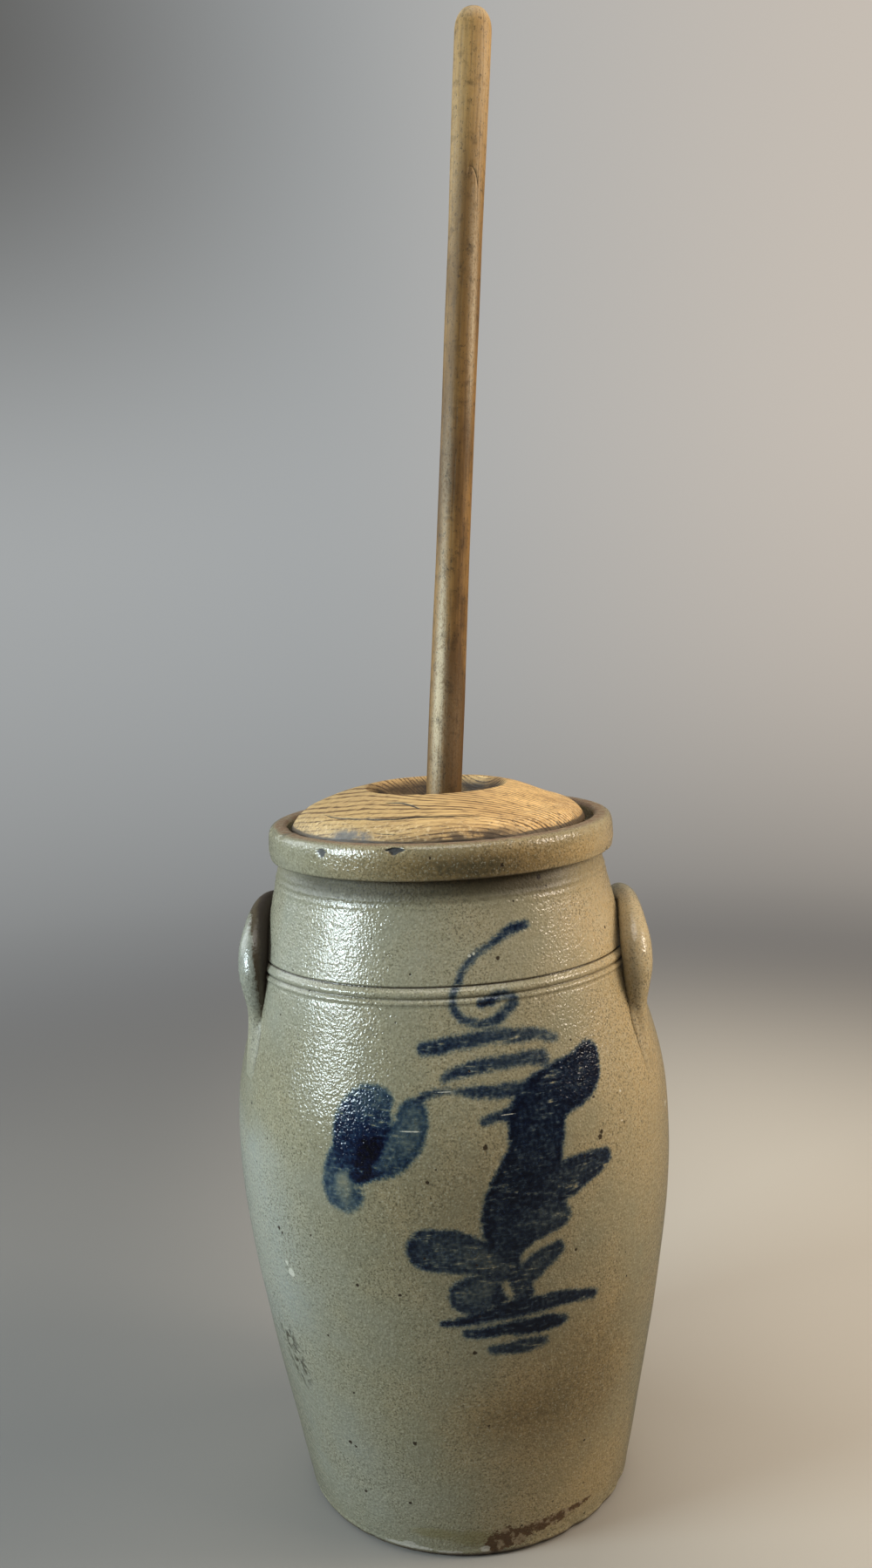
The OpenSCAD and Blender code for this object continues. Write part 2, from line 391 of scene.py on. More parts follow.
def wallRelief(heights, v=crock):
    relief = np.zeros_like(heights)
    for middle, section, proud in v["beads"]:
        inside = np.clip(section ** 2 - (heights - middle) ** 2, 0, None)
        relief = np.maximum(relief, np.where(inside > 0, proud - section + np.sqrt(inside), 0))
    for middle, width, depth in v["grooves"]:
        relief = relief - depth * np.exp(-((heights - middle) / width) ** 2)
    for middle, width, proud in v["ridges"]:
        relief = relief + proud * np.exp(-((heights - middle) / width) ** 2)
    return relief


def crockOutline(v):
    footRadius, footRound = v["foot"]
    collar, mouth, throat, ledge = v["collarRadius"], v["mouthRadius"], v["throatRadius"], v["ledgeHeight"]
    bands = [(footRound, 30, 2.0), (30, 150, 4.0), (150, 380, 2.0), (380, 398, 0.45), (398, 438, 2.0),
             (438, 459.4, 0.8)]
    heights = np.concatenate([np.linspace(a, b, max(2, round((b - a) / step)), endpoint=False) for a, b, step in bands])
    radii = wallRadius(heights) + wallRelief(heights)
    outside = list(zip(radii, heights))
    inner = np.linspace(447, 34, 20)
    inside = list(zip(wallRadius(inner) - v["wall"], inner))
    bottomRadius = footRadius - 12.5
    return withoutRepeats(
        straight((0, 0), (footRadius, 0), 5)
        + arc((footRadius, footRound), footRound, -90, -6, 9)
        + outside
        + arc((112.3, 459.2), 1.3, 180, 90, 4)
        + straight((113.5, 460.5), (118.3, 460.4), 3)
        + arc((118.5, 461.6), 1.2, -90, 0, 4)
        + straight((119.8, 462.4), (collar, 466.4), 3)
        + straight((collar, 467.4), (collar - 0.2, 474.5), 7)
        + bezier((collar - 0.2, 474.5), (collar - 0.35, 477.5), (collar - 0.9, 479.5), (collar - 1.6, 480.7), 8)
        + bezier((collar - 1.6, 480.7), (collar - 2.5, 482.2), (collar - 4.2, 483), (collar - 7, 483), 10)
        + arc((mouth + 3, 480), 3, 90, 180, 8)
        + straight((mouth, 479), (mouth, ledge + 1.2), 5)
        + arc((mouth - 1.2, ledge + 1.2), 1.2, 0, -90, 3)
        + straight((mouth - 2, ledge), (throat + 2.5, ledge), 3)
        + arc((throat + 2, ledge - 2), 2, 90, 180, 4)
        + bezier((throat, ledge - 4), (throat, 461), (throat + 1, 454), inside[0], 6)
        + inside
        + arc((bottomRadius, v["floor"] + 14), 14, -12, -90, 6)
        + straight((bottomRadius - 8, v["floor"]), (0, v["floor"]), 4))


# Cobalt brush strokes as (azimuth, height, half width, strength) along each stroke.
# Hollow is how much paler a wide stroke is in its middle.
cobaltStrokes = {
    "figureSix": (0.0, [
        (25, 428, 2.2, 0.90), (20, 426, 2.2, 0.85), (16, 422, 2, 0.76), (12.5, 418, 1.6, 0.62), (9, 414, 1.5, 0.47),
        (6, 408, 1.5, 0.47), (4, 403, 1.5, 0.52), (3, 397, 1.6, 0.57), (1.5, 392, 1.5, 0.47), (1, 385, 1.6, 0.62),
        (2, 379, 2, 0.66), (3.5, 375, 2, 0.66), (6.5, 373, 2, 0.52), (9.5, 372, 2, 0.66), (13, 374, 2.5, 0.71),
        (15.5, 378, 2.5, 0.62), (18, 382, 2.5, 0.57), (18.5, 385, 2, 0.52), (16, 388, 2, 0.57), (13, 388, 2, 0.66)]),
    "figureEnd": (0.0, [(12, 385.5, 2.3, 1.15), (9, 384, 2, 1.0)]),
    "upperBar": (0.0, [
        (-7, 359, 3.4, 0.84), (-1, 361, 4, 0.76), (5.5, 363, 3.5, 0.64), (12, 364, 3.5, 0.60), (18, 363, 4, 0.56),
        (23.5, 362, 3.3, 0.50), (28.5, 358, 2.6, 0.40)]),
    "secondBar": (0.0, [
        (-2, 342, 2, 0.55), (1.5, 345, 3, 0.75), (6, 347, 3.5, 0.7), (10, 348, 3.5, 0.6), (15, 349, 3.5, 0.55),
        (20.5, 349, 4, 0.6), (24, 348, 4, 0.65)]),
    "flowerStem": (0.0, [
        (-9, 327, 2.6, 0.8), (-6.5, 332, 1.9, 0.75), (-3, 334, 1.3, 0.6), (1, 334, 1.1, 0.5), (5, 333, 3, 0.75),
        (9.5, 332, 3.5, 0.7), (13.5, 332, 3.5, 0.65), (18, 331, 4, 0.75)]),
    "shortBar": (0.0, [(7, 315, 2, 0.6), (10, 317, 2.5, 0.7), (13, 318, 3, 0.8)]),
    "upperLeaf": (0.1, [
        (38.5, 344, 6.5, 1.50), (36.5, 337, 11, 1.50), (33, 331, 14.5, 1.35), (28, 328, 15, 1.26),
        (23.5, 324, 16, 1.35), (20, 316, 16.5, 1.35), (19.5, 306, 17.5, 1.35)]),
    "stalk": (0.12, [
        (21, 313, 17, 1.18), (20, 303, 17.5, 1.18), (19, 291, 18, 1.18), (17, 280, 19.5, 1.32), (15, 268, 20.5, 1.24),
        (13.5, 258, 21, 1.18), (12, 247, 17, 1.04), (11, 236, 10.5, 1.04), (10, 226, 9, 1.04)]),
    "lowerBand": (0.1, [(13.5, 251, 14.5, 0.88), (20, 251, 12.5, 0.75), (24, 250, 8, 0.69)]),
    "rightLeaf": (0.15, [(21.5, 269, 13.5, 1.06), (28, 273, 11.5, 0.94), (33.5, 276, 8.5, 1.00), (38, 278, 5.5, 0.94)]),
    "lowLeftLeaf": (0.2, [
        (-7.5, 236, 13, 0.88), (-2.5, 235, 14, 0.75), (2, 232, 12.5, 0.63), (6.5, 227, 10, 0.62), (10, 222, 9, 0.66)]),
    "lowMiddleLeaf": (0.3, [(1.5, 204, 12, 0.72), (4.5, 206, 12, 0.65), (6.5, 212, 7, 0.65)]),
    "leftStem": (0.0, [(8, 221, 7, 0.75), (7.5, 209, 4.5, 0.85), (9, 199, 4.5, 0.9)]),
    "rightStem": (0.0, [(12, 221, 5.5, 0.8), (13.5, 211, 5, 0.8), (15, 202, 6, 0.8)]),
    "lowRightLeaf": (0.1, [(23.5, 228, 4.5, 0.7), (20, 223, 7, 0.65), (16.5, 217, 7.5, 0.7), (15, 211, 5, 0.75)]),
    "lowerBarFirst": (0.0, [
        (-5, 185, 1, 1.09), (-0.5, 186, 2.5, 1.23), (4.5, 188, 3.5, 1.09), (9.5, 191, 5, 1.16), (14, 192, 6, 1.16),
        (19, 192, 5, 1.09), (25, 192, 4.5, 0.95), (30, 190, 3.5, 0.95), (34.5, 187, 2.5, 0.88)]),
    "lowerBarSecond": (0.0, [
        (1, 177, 2.5, 0.89), (5, 177, 3, 1.03), (9.5, 178, 3.5, 1.11), (14, 178, 4.5, 1.19), (18.5, 177, 5, 1.26),
        (22.5, 177, 4.5, 1.19), (25.5, 176, 3, 0.97)]),
    "lowerBarThird": (0.0, [
        (7, 164, 2.5, 0.6), (9.5, 164, 3.5, 0.65), (13, 164, 4.5, 0.7), (16.5, 164, 4.5, 0.7), (20.5, 164, 2.5, 0.6)]),
    "flowerUpperLobe": (0.0, [
        (-18, 328, 8, 0.50), (-21.5, 325, 11.5, 0.67), (-24, 319, 12, 0.92), (-25.5, 311, 12, 1.13),
        (-25, 302, 13, 1.30), (-27.5, 292, 8, 1.05)]),
    "flowerMiddle": (0.0, [(-19, 320, 9.5, 0.77), (-20.5, 310, 13, 1.26)]),
    "flowerCore": (0.0, [
        (-18.5, 308, 6, 1.75), (-20.5, 300, 13.5, 2.50), (-21.5, 290, 10, 2.30), (-24, 281, 4.5, 1.75)]),
    "flowerRightLobe": (0.2, [
        (-10, 320, 9.5, 0.53), (-10.5, 312, 10.5, 0.49), (-12.5, 304, 12, 0.56), (-15.5, 296, 11.5, 0.70),
        (-18.5, 290, 9, 0.78)]),
    "flowerCurl": (0.0, [
        (-29.8, 290, 5, 0.74), (-31.0, 282, 4.8, 0.59), (-31.2, 273, 5, 0.51), (-30.0, 265.5, 5.5, 0.46),
        (-27.5, 262, 5.4, 0.37), (-25.2, 264, 5, 0.41), (-23.8, 268.5, 3.8, 0.60)]),
    "curlWash": (0.0, [(-27.5, 276, 7.5, 0.10), (-27.5, 268, 8.5, 0.22)]),
}


# Distance to the nearest stroke's edge, negative inside, with the strength and the greyness of the colour
def cobaltAt(azimuths, heights, radii):
    weightSum, strengthSum, greySum, edgeSum = (np.zeros(len(azimuths)) for _ in range(4))
    px, pz = np.radians(azimuths) * radii, heights
    for name, (hollow, points) in cobaltStrokes.items():
        nearest = np.full(len(azimuths), 1e3)
        strengthHere = np.zeros(len(azimuths))
        curve = curveThrough(points, 3)
        for start, end in zip(curve, curve[1:]):
            ax, az = np.radians(start[0]) * radii, start[1]
            bx, bz = np.radians(end[0]) * radii, end[1]
            along = ((px - ax) * (bx - ax) + (pz - az) * (bz - az)) / ((bx - ax) ** 2 + (bz - az) ** 2 + 1e-9)
            along = np.clip(along, 0, 1)
            reach = np.hypot(px - ax - along * (bx - ax), pz - az - along * (bz - az))
            edge = reach - (start[2] + along * (end[2] - start[2]))
            closer = edge < nearest
            strengthHere = np.where(closer, start[3] + along * (end[3] - start[3]), strengthHere)
            nearest = np.where(closer, edge, nearest)
        strengthHere = strengthHere * (1 - hollow * smoothStep(-nearest, 2, 8))
        weight = np.exp(-np.clip(nearest, -9, 12) / 1.3)
        weightSum += weight
        strengthSum += weight * strengthHere
        greySum += weight * (name not in blueStrokes)
        edgeSum += np.exp(-np.clip(nearest, -20, 20) / 0.8)
    return -0.8 * np.log(edgeSum), strengthSum / weightSum, greySum / weightSum


blueStrokes = ("flowerUpperLobe", "flowerMiddle", "flowerCore", "flowerRightLobe", "flowerCurl", "curlWash")

# Where the glaze is paler or darker and warmer or greyer, as (azimuth, height, spread across in degrees, spread up,
# shade, warmth).
# Some are the kiln's own marks; others are painted light and shade: a paler neck, a darker front and collar middle, and
# a paler, warmer right side.
glazeToneAndLightClouds = {
    "leftFrost": (-66, 205, 28, 78, 0.24, -0.95),
    "leftDusk": (-55, 334, 27, 22, -0.20, 0.02),
    "leftNeck": (-60, 400, 30, 60, 0.10, -0.40),
    "leftFoot": (-40, 60, 30, 60, 0.15, -0.45),
    "neckPaintedLight": (-8, 415, 70, 34, 0.26, -0.02),
    "neckRightPaintedLight": (62, 418, 26, 34, 0.44, 0.80),
    "frontPaintedShade": (2, 262, 30, 58, -0.38, 0.18),
    "lowMiddle": (0, 100, 30, 50, -0.10, 0.25),
    "oliveSmudge": (12, 112, 13, 17, -0.40, 0.25),
    "lowerRightDusk": (34, 124, 20, 66, -0.68, 0.55),
    "rightGlow": (68, 330, 28, 110, 0.26, 0.75),
    "rightFoot": (45, 35, 28, 40, 0.05, 0.45),
    "collarPaintedShade": (10, 468, 34, 11, -1.15, 1.10),
    "collarRightPaintedLight": (72, 470, 26, 14, 0.40, 0.60),
    "backPale": (165, 300, 60, 90, 0.25, -0.35),
    "backDusk": (-140, 150, 40, 60, -0.35, 0.35),
    "backGlow": (120, 120, 30, 60, -0.10, 0.5),
}


def cloudsAt(azimuths, heights, which):
    total = np.zeros(len(azimuths))
    for azimuth, height, wide, tall, *amounts in glazeToneAndLightClouds.values():
        turn = (azimuths - azimuth + 180) % 360 - 180
        total += amounts[which] * np.exp(-(turn / wide) ** 2 - ((heights - height) / tall) ** 2)
    return total


# Chips on the collar's edge as (azimuth, height, half width, half height, depth, darkness)
chips = {
    "darkChip": (-14.0, 480.6, 7.5, 3.4, 1.5, 1.3),
    "greyChip": (-39.5, 477.6, 5.0, 5.5, 0.5, 0.95),
    "leftRough": (-76.0, 481.5, 14.0, 4.0, 1.2, 0.35),
    "leftNick": (-64.0, 482.5, 6.0, 3.5, 1.2, 0.5),
    "frontNick": (21.0, 482.2, 3.5, 2.2, 0.8, 0.4),
    "rightNick": (69.0, 461.8, 4.0, 2.4, 0.8, 0.9),
    "backNick": (152.0, 481.5, 7.0, 3.0, 1.0, 0.5),
}


def shapeCrock(piece, v):
    mesh = piece.data
    places = getPlaces(mesh)
    radii = np.hypot(places[:, 0], places[:, 1]) / mm
    heights = places[:, 2] / mm
    azimuths = np.degrees(np.arctan2(places[:, 0], -places[:, 1]))
    outside = (radii > 104) & ((heights > 472) | (radii > wallRadius(np.clip(heights, 6.5, 460)) - 5))
    outside &= heights > 6

    # A slow wobble from the wheel, a fuller left shoulder and a rough foot
    slow = noiseAt(places * np.array([1, 1, 2.2]), 130)
    change = -v["wobble"] * (0.5 + 0.5 * slow) * smoothStep(heights, 20, 60) * (heights < 459)
    fuller = smoothStep(heights, 335, 385) * (1 - smoothStep(heights, 452, 459))
    change += v["leftFullness"] * fuller * np.clip(-np.sin(np.radians(azimuths)), 0, 1)
    change -= 0.25 * (0.5 + 0.5 * noiseAt(places, 24)) * outside
    footDents = np.clip(noiseAt(places * np.array([1, 1, 0.5]), 11) - 0.1, 0, None)
    change -= 2.2 * footDents * (1 - smoothStep(heights, 3, 11)) * (radii > 100)

    bare = np.zeros(len(places))
    rim = (heights > 459) & (radii > 106)
    for middle, level, halfWidth, halfHeight, depth, darkness in chips.values():
        sideways = np.abs(np.radians((azimuths - middle + 180) % 360 - 180) * radii) / halfWidth
        above = heights - level
        reach = sideways + np.where(above > 0, 2.2, 1.0) * np.abs(above) / halfHeight + 0.4 * noiseAt(places, 3)
        hit = (1 - smoothStep(reach, 0.75, 1.05)) * rim
        change -= depth * hit
        bare = np.maximum(bare, darkness * hit)
    scale = np.where(outside | (heights < 12), (radii + change) / np.maximum(radii, 1e-6), 1)
    places[:, 0] *= scale
    places[:, 1] *= scale
    setPlaces(mesh, places)

    edge = np.full(len(places), 12.0)
    strength, grey = np.zeros(len(places)), np.zeros(len(places))
    near = outside & (np.abs(azimuths) < 47) & (heights > 150) & (heights < 440)
    edge[near], strength[near], grey[near] = cobaltAt(azimuths[near], heights[near], radii[near])
    setAttribute(mesh, "cobaltEdge", edge)
    setAttribute(mesh, "cobaltStrength", strength)
    setAttribute(mesh, "cobaltGrey", grey)
    # A frosted patch on the left that ends along a soft slanting line
    frosted = (1 - smoothStep(azimuths, -64, -36)) * smoothStep(azimuths, -122, -94) * smoothStep(heights, 100, 185)
    frosted *= 1 - smoothStep(heights + 12 * noiseAt(places, 45) + 0.5 * (azimuths + 64), 274, 300)
    # Tone and warmth from the clouds, which hold painted light and shade as well as the kiln's marks, and the frosted
    # patch
    setAttribute(mesh, "toneWithPaintedShade", cloudsAt(azimuths, heights, 0) + 0.48 * frosted)
    setAttribute(mesh, "warmthWithPaintedLight", cloudsAt(azimuths, heights, 1) - 0.45 * frosted)
    setAttribute(mesh, "chipBare", bare)
    inner = (radii < wallRadius(np.clip(heights, 6.5, 460)) - 5) & (heights > 10) & (heights < 470.5)
    setAttribute(mesh, "innerSlip", inner)
    worn = smoothStep(heights, 478.5, 482) * (1 - smoothStep(radii, 114, 118))
    setAttribute(mesh, "rimWorn", worn)
    # Painted shade under the collar: full at the front, weaker towards the sides
    setAttribute(mesh, "underCollarShadeAndDirt", 1 - 0.75 * smoothStep(np.abs(azimuths + 8), 36, 66))
    for name, patches in footPatches.items():
        patch = np.zeros(len(places))
        for azimuth, level, wide, tall in patches:
            away = np.hypot((azimuths - azimuth) / wide, (heights - level) / tall)
            patch = np.maximum(patch, 1 - smoothStep(away, 0.3, 1.3))
        setAttribute(mesh, name, patch * (radii > 100))
    pitted = np.hypot((azimuths + 56 + 0.16 * (heights - 131)) / 6.5, (heights - 131) / 29)
    setAttribute(mesh, "pitted", (1 - smoothStep(pitted, 0.5, 1.0)) * outside)


# Stains and pooled glaze near the foot as (azimuth, height, spread across in degrees, spread up)
footPatches = {
    "footStain": [(12, 14.5, 9.0, 10.0), (7.5, 9, 5.0, 6.5), (24, 18.5, 11.0, 5.0), (35, 21.5, 8.0, 3.0)],
    "footOlive": [(0.0, 17.0, 9.0, 8.0), (-11.0, 20.0, 11.0, 5.5)],
    "footBare": [(-22, 6.2, 10, 1.7), (-8, 5.4, 6, 1.1), (3.6, 7.6, 2.0, 3.0), (-21.5, 8.5, 2.6, 2.2)],
}


# Single iron spots as (azimuth, height, radius)
ironSpots = [
    (37.8, 294.5, 1.5), (37.2, 291.5, 1.8), (46.2, 294, 1.0), (31.9, 283, 0.8), (36.9, 317, 0.9), (7.0, 300, 1.7),
    (-6.8, 280, 1.1), (-6.2, 270, 0.7), (-50.7, 229, 1.5), (-49.6, 226.5, 1.2), (-38.4, 234, 0.9), (-25.8, 207, 1.2),
    (2.5, 163, 1.5), (-15.2, 93, 1.4), (5.5, 107, 0.9), (-19.1, 43, 1.2), (-37.0, 80, 1.4), (-35.2, 78, 1.1),
    (-32.1, 123, 0.9), (-50.6, 452, 1.4), (-39.1, 452, 1.3), (-49.4, 421, 1.0), (-72.2, 402, 1.4), (-56.5, 396, 1.4),
    (15.0, 410, 1.3), (60.5, 412, 1.1), (28.5, 223, 1.0), (-64.0, 304, 1.1), (-14.9, 204, 1.0), (-34.9, 42, 1.1),
    (-3.5, 475.3, 0.9), (18, 468, 1.2), (33, 455, 1.6), (112, 300, 1.6), (150, 380, 1.3), (-120, 340, 1.5),
    (-160, 210, 1.4), (88, 140, 1.4), (175, 120, 1.5),
]

# Pale flecks where the glaze has come away or pooled white, and painted glints such as the small pair by the figure six
# and two on the right, as (azimuth, height, radius)
paleFlecksAndGlints = [
    (-47.9, 199.6, 3.0), (-49.5, 205, 1.6), (73.3, 282, 2.4), (46.5, 314, 1.0), (8.0, 414.2, 0.5), (6.6, 413.0, 0.5),
    (45.5, 296, 0.9),
]

# Light scratches that run across, as (azimuth, height, half thickness), and how much longer they are than thick
lightScratches = [(-10.4, 311.0, 0.34), (-2.0, 334.0, 0.26), (12.8, 318.0, 0.24)]
scratchStretch = 0.055

glazeLook = {
    "base": (0.243, 0.222, 0.142, 1),
    "pale": (0.430, 0.410, 0.308, 1),
    "dark": (0.068, 0.054, 0.026, 1),
    "tan": (0.380, 0.252, 0.100, 1),
    "grey": (0.236, 0.256, 0.230, 1),
    "grain": (0.060, 0.052, 0.032, 1),
    "slip": (0.055, 0.030, 0.015, 1),
    # The colour below is iron, and also the painted shade by the wall on the lugs' inner sides
    "ironAndShade": (0.022, 0.012, 0.006, 1),
    # The colour below multiplies painted shade and browner glaze into the neck under the collar
    "underCollarShadeAndDirt": (0.240, 0.215, 0.140, 1),
    "rim": (0.150, 0.085, 0.048, 1),
    "bareClay": (0.400, 0.375, 0.320, 1),
    "chip": (0.018, 0.016, 0.014, 1),
    # The colour below is pale flecks, scratches and painted glints
    "fleckAndGlint": (0.560, 0.540, 0.450, 1),
    # The colour below is brown staining, and also the painted contact shade along the foot's lowest edge
    "brownStainAndContactShade": (0.070, 0.034, 0.014, 1),
    # The colour below is the lugs' brown inner side with painted shade
    "lugInnerBrownShade": (0.052, 0.034, 0.015, 1),
    "stainClay": (0.250, 0.190, 0.120, 1),
    "footOlive": (0.165, 0.138, 0.048, 1),
    "cobalt": (0.052, 0.126, 0.365),
    "cobaltGrey": (0.056, 0.106, 0.280),
    "cobaltDepth": 1.32,
    "peel": 1.7,
    "peelDepth": 0.38,
    "lugDepth": 0.24,
    "roughness": 0.17,
    "ior": 1.54,
    "pitTurn": (math.radians(-46), 0, math.radians(34)),
}


# Grey to tan salt glaze, mottled, grained and specked. Returns the colour and the skin group's outputs.
def glazeColours(tree, place, look, shade, warmth):
    skin = useGroup(tree, saltGlazeGroup, {"Place": place, "Peel": look["peel"]})
    drift = maths(tree, "SUBTRACT", skin["Cloud"], 0.5)
    warm = maths(tree, "ADD", warmth, product(tree, drift, 0.9))
    light = maths(tree, "ADD", shade, product(tree, maths(tree, "SUBTRACT", skin["Mottle"], 0.5), 1.5))
    light = maths(tree, "ADD", light, product(tree, drift, 0.5))
    colour = blendColours(tree, maths(tree, "MULTIPLY", warm, 1.0), look["base"], look["tan"])
    colour = blendColours(tree, maths(tree, "MULTIPLY", warm, -1.0), colour, look["grey"])
    colour = blendColours(tree, maths(tree, "MULTIPLY", light, 0.62), colour, look["pale"])
    colour = blendColours(tree, maths(tree, "MULTIPLY", light, -0.85), colour, look["dark"])
    patchy = ramp(tree, skin["Cloud"], 0.35, 0.62, 0.28, 0.68)
    colour = blendColours(tree, product(tree, ramp(tree, skin["Grain"], 0.53, 0.62), patchy), colour, look["grain"])
    colour = blendColours(tree, product(tree, ramp(tree, skin["Grain"], 0.44, 0.32), 0.45), colour, look["pale"])
    return colour, skin


# Mask of single spots on the wall, each (azimuth, height, radius), with their edges moved by the given rough value
def spotsAt(tree, place, spots, rough, across=1.0):
    mask = 0.0
    for azimuth, level, radius in spots:
        turn = math.radians(azimuth)
        reach = float(wallRadius(np.array([level]))[0]) if level < 459 else crock["collarRadius"]
        middle = (reach * math.sin(turn) * across, -reach * math.cos(turn) * across, level)
        away = addNode(tree, "VectorMath", {0: place, 1: middle}, operation="DISTANCE").outputs["Value"]
        mask = maths(tree, "MAXIMUM", mask, ramp(tree, maths(tree, "ADD", away, rough), radius * 1.25, radius * 0.8))
    return mask


def crockMaterial(look):
    material, tree, shader = newMaterial("saltGlazedStoneware")
    place = placeIn(tree)
    colour, skin = glazeColours(tree, place, look, attribute(tree, "toneWithPaintedShade"), attribute(tree, "warmthWithPaintedLight"))
    height = addNode(tree, "SeparateXYZ", {0: place}).outputs[2]
    fine = maths(tree, "SUBTRACT", grains(tree, place, 1.5, 3.0, 0.6), 0.5)
    broad = maths(tree, "SUBTRACT", grains(tree, place, 7, 2.0), 0.5)

    # Duller, browner glaze with painted shade under the collar, and darker colour in the tooled grooves
    underCollarShadeAndDirt = product(tree, ramp(tree, maths(tree, "ADD", height, product(tree, broad, 5.0)), 441, 452),
                        ramp(tree, height, 463, 459), 0.95)
    underCollarShadeAndDirt = product(tree, underCollarShadeAndDirt, attribute(tree, "underCollarShadeAndDirt"))
    colour = blendColours(tree, underCollarShadeAndDirt, colour, look["underCollarShadeAndDirt"], "MULTIPLY")
    for (middle, width, depth), amount in zip(crock["grooves"], (0.85, 0.45)):
        gap = maths(tree, "ABSOLUTE", maths(tree, "SUBTRACT", height, middle))
        dirtAndShade = product(tree, ramp(tree, gap, width * 1.6, width * 0.3), amount)
        colour = blendColours(tree, dirtAndShade, colour, look["ironAndShade"])
    worn = product(tree, attribute(tree, "rimWorn"), ramp(tree, maths(tree, "ADD", broad, fine), -0.25, 0.15, 0.3, 0.9))
    colour = blendColours(tree, worn, colour, look["rim"])

    # Cobalt sinks into the glaze: each colour is dimmed by a power of the amount
    edge = maths(tree, "ADD", attribute(tree, "cobaltEdge"), product(tree, fine, 4.5))
    edge = maths(tree, "ADD", edge, product(tree, broad, 2.4))
    body = maths(tree, "ADD", product(tree, ramp(tree, edge, 1.9, -2.0), 0.88), product(tree, ramp(tree, edge, 3.2, 0.5), 0.12))
    pooled = product(tree, ramp(tree, edge, 0.2, -1.2), ramp(tree, edge, -5.0, -2.2), 0.09)
    streaks = grains(tree, stretched(tree, place, (0.09, 0.09, 0.42)), 1.0, 4.0, 0.65)
    tone = maths(tree, "ADD", ramp(tree, skin["Mottle"], 0.66, 0.34, 0.62, 1.28),
                 product(tree, maths(tree, "SUBTRACT", streaks, 0.5), 1.5))
    scraped = product(tree, ramp(tree, streaks, 0.44, 0.34), ramp(tree, skin["Cloud"], 0.40, 0.55, 0.3, 1.0))
    tone = maths(tree, "SUBTRACT", tone, product(tree, scraped, 0.46))
    tone = maths(tree, "SUBTRACT", tone, product(tree, ramp(tree, skin["Grain"], 0.42, 0.30), 0.45))
    amount = product(tree, body, attribute(tree, "cobaltStrength"), tone)
    amount = product(tree, maths(tree, "ADD", amount, pooled), look["cobaltDepth"])
    tints = []
    for part in ("cobalt", "cobaltGrey"):
        dimming = [maths(tree, "POWER", channel, amount) for channel in look[part]]
        tints.append(addNode(tree, "CombineColor", dict(enumerate(dimming))).outputs[0])
    tint = blendColours(tree, attribute(tree, "cobaltGrey"), *tints)
    colour = blendColours(tree, 1.0, colour, tint, "MULTIPLY")

    # Iron spots, first the single ones and then the skin's own scatter
    spots = maths(tree, "MAXIMUM", skin["Speck"], spotsAt(tree, place, ironSpots, product(tree, fine, 2.4)))
    colour = blendColours(tree, product(tree, spots, 0.92), colour, look["ironAndShade"])

    bare = ramp(tree, maths(tree, "ADD", attribute(tree, "chipBare"), product(tree, fine, 0.4)), 0.2, 0.9)
    # Pale flecks and painted glints
    flecksAndGlints = spotsAt(tree, place, paleFlecksAndGlints, product(tree, maths(tree, "ADD", fine, broad), 3.0))
    colour = blendColours(tree, bare, colour, look["chip"])
    foot = ramp(tree, maths(tree, "ADD", height, product(tree, broad, 9.0)), 5.0, 1.0)
    colour = blendColours(tree, product(tree, foot, 0.7), colour, look["bareClay"])
    stain = maths(tree, "ADD", attribute(tree, "footStain"), product(tree, broad, 1.6))
    stain = ramp(tree, maths(tree, "ADD", stain, product(tree, fine, 1.8)), 0.34, 0.56)
    stain = product(tree, stain, ramp(tree, attribute(tree, "footStain"), 0.0, 0.25), 0.92)
    mottled = ramp(tree, grains(tree, place, 5, 3.0, 0.6), 0.48, 0.62)
    olive = ramp(tree, maths(tree, "ADD", attribute(tree, "footOlive"), broad), 0.05, 0.60)
    colour = blendColours(tree, product(tree, olive, attribute(tree, "footOlive"), 0.55), colour, look["footOlive"])
    colour = blendColours(tree, stain, colour, blendColours(tree, mottled, look["brownStainAndContactShade"], look["stainClay"]))
    bareEdge = ramp(tree, maths(tree, "ADD", attribute(tree, "footBare"), product(tree, fine, 0.8)), 0.35, 0.55)
    bareEdge = product(tree, bareEdge, ramp(tree, attribute(tree, "footBare"), 0.0, 0.2))
    colour = blendColours(tree, product(tree, bareEdge, 0.85), colour, look["bareClay"])
    # Painted contact shade: the foot's lowest few millimetres are darkened
    paintedContactShade = ramp(tree, maths(tree, "ADD", height, product(tree, broad, 4.0)), 5.6, 2.6)
    colour = blendColours(tree, product(tree, paintedContactShade, 0.85), colour, look["brownStainAndContactShade"])
    scratched = spotsAt(tree, stretched(tree, place, (scratchStretch, scratchStretch, 1)), lightScratches,
                        product(tree, fine, 0.4), scratchStretch)
    colour = blendColours(tree, product(tree, maths(tree, "MAXIMUM", flecksAndGlints, scratched), 0.75), colour, look["fleckAndGlint"])
    colour = blendColours(tree, attribute(tree, "innerSlip"), colour, look["slip"])

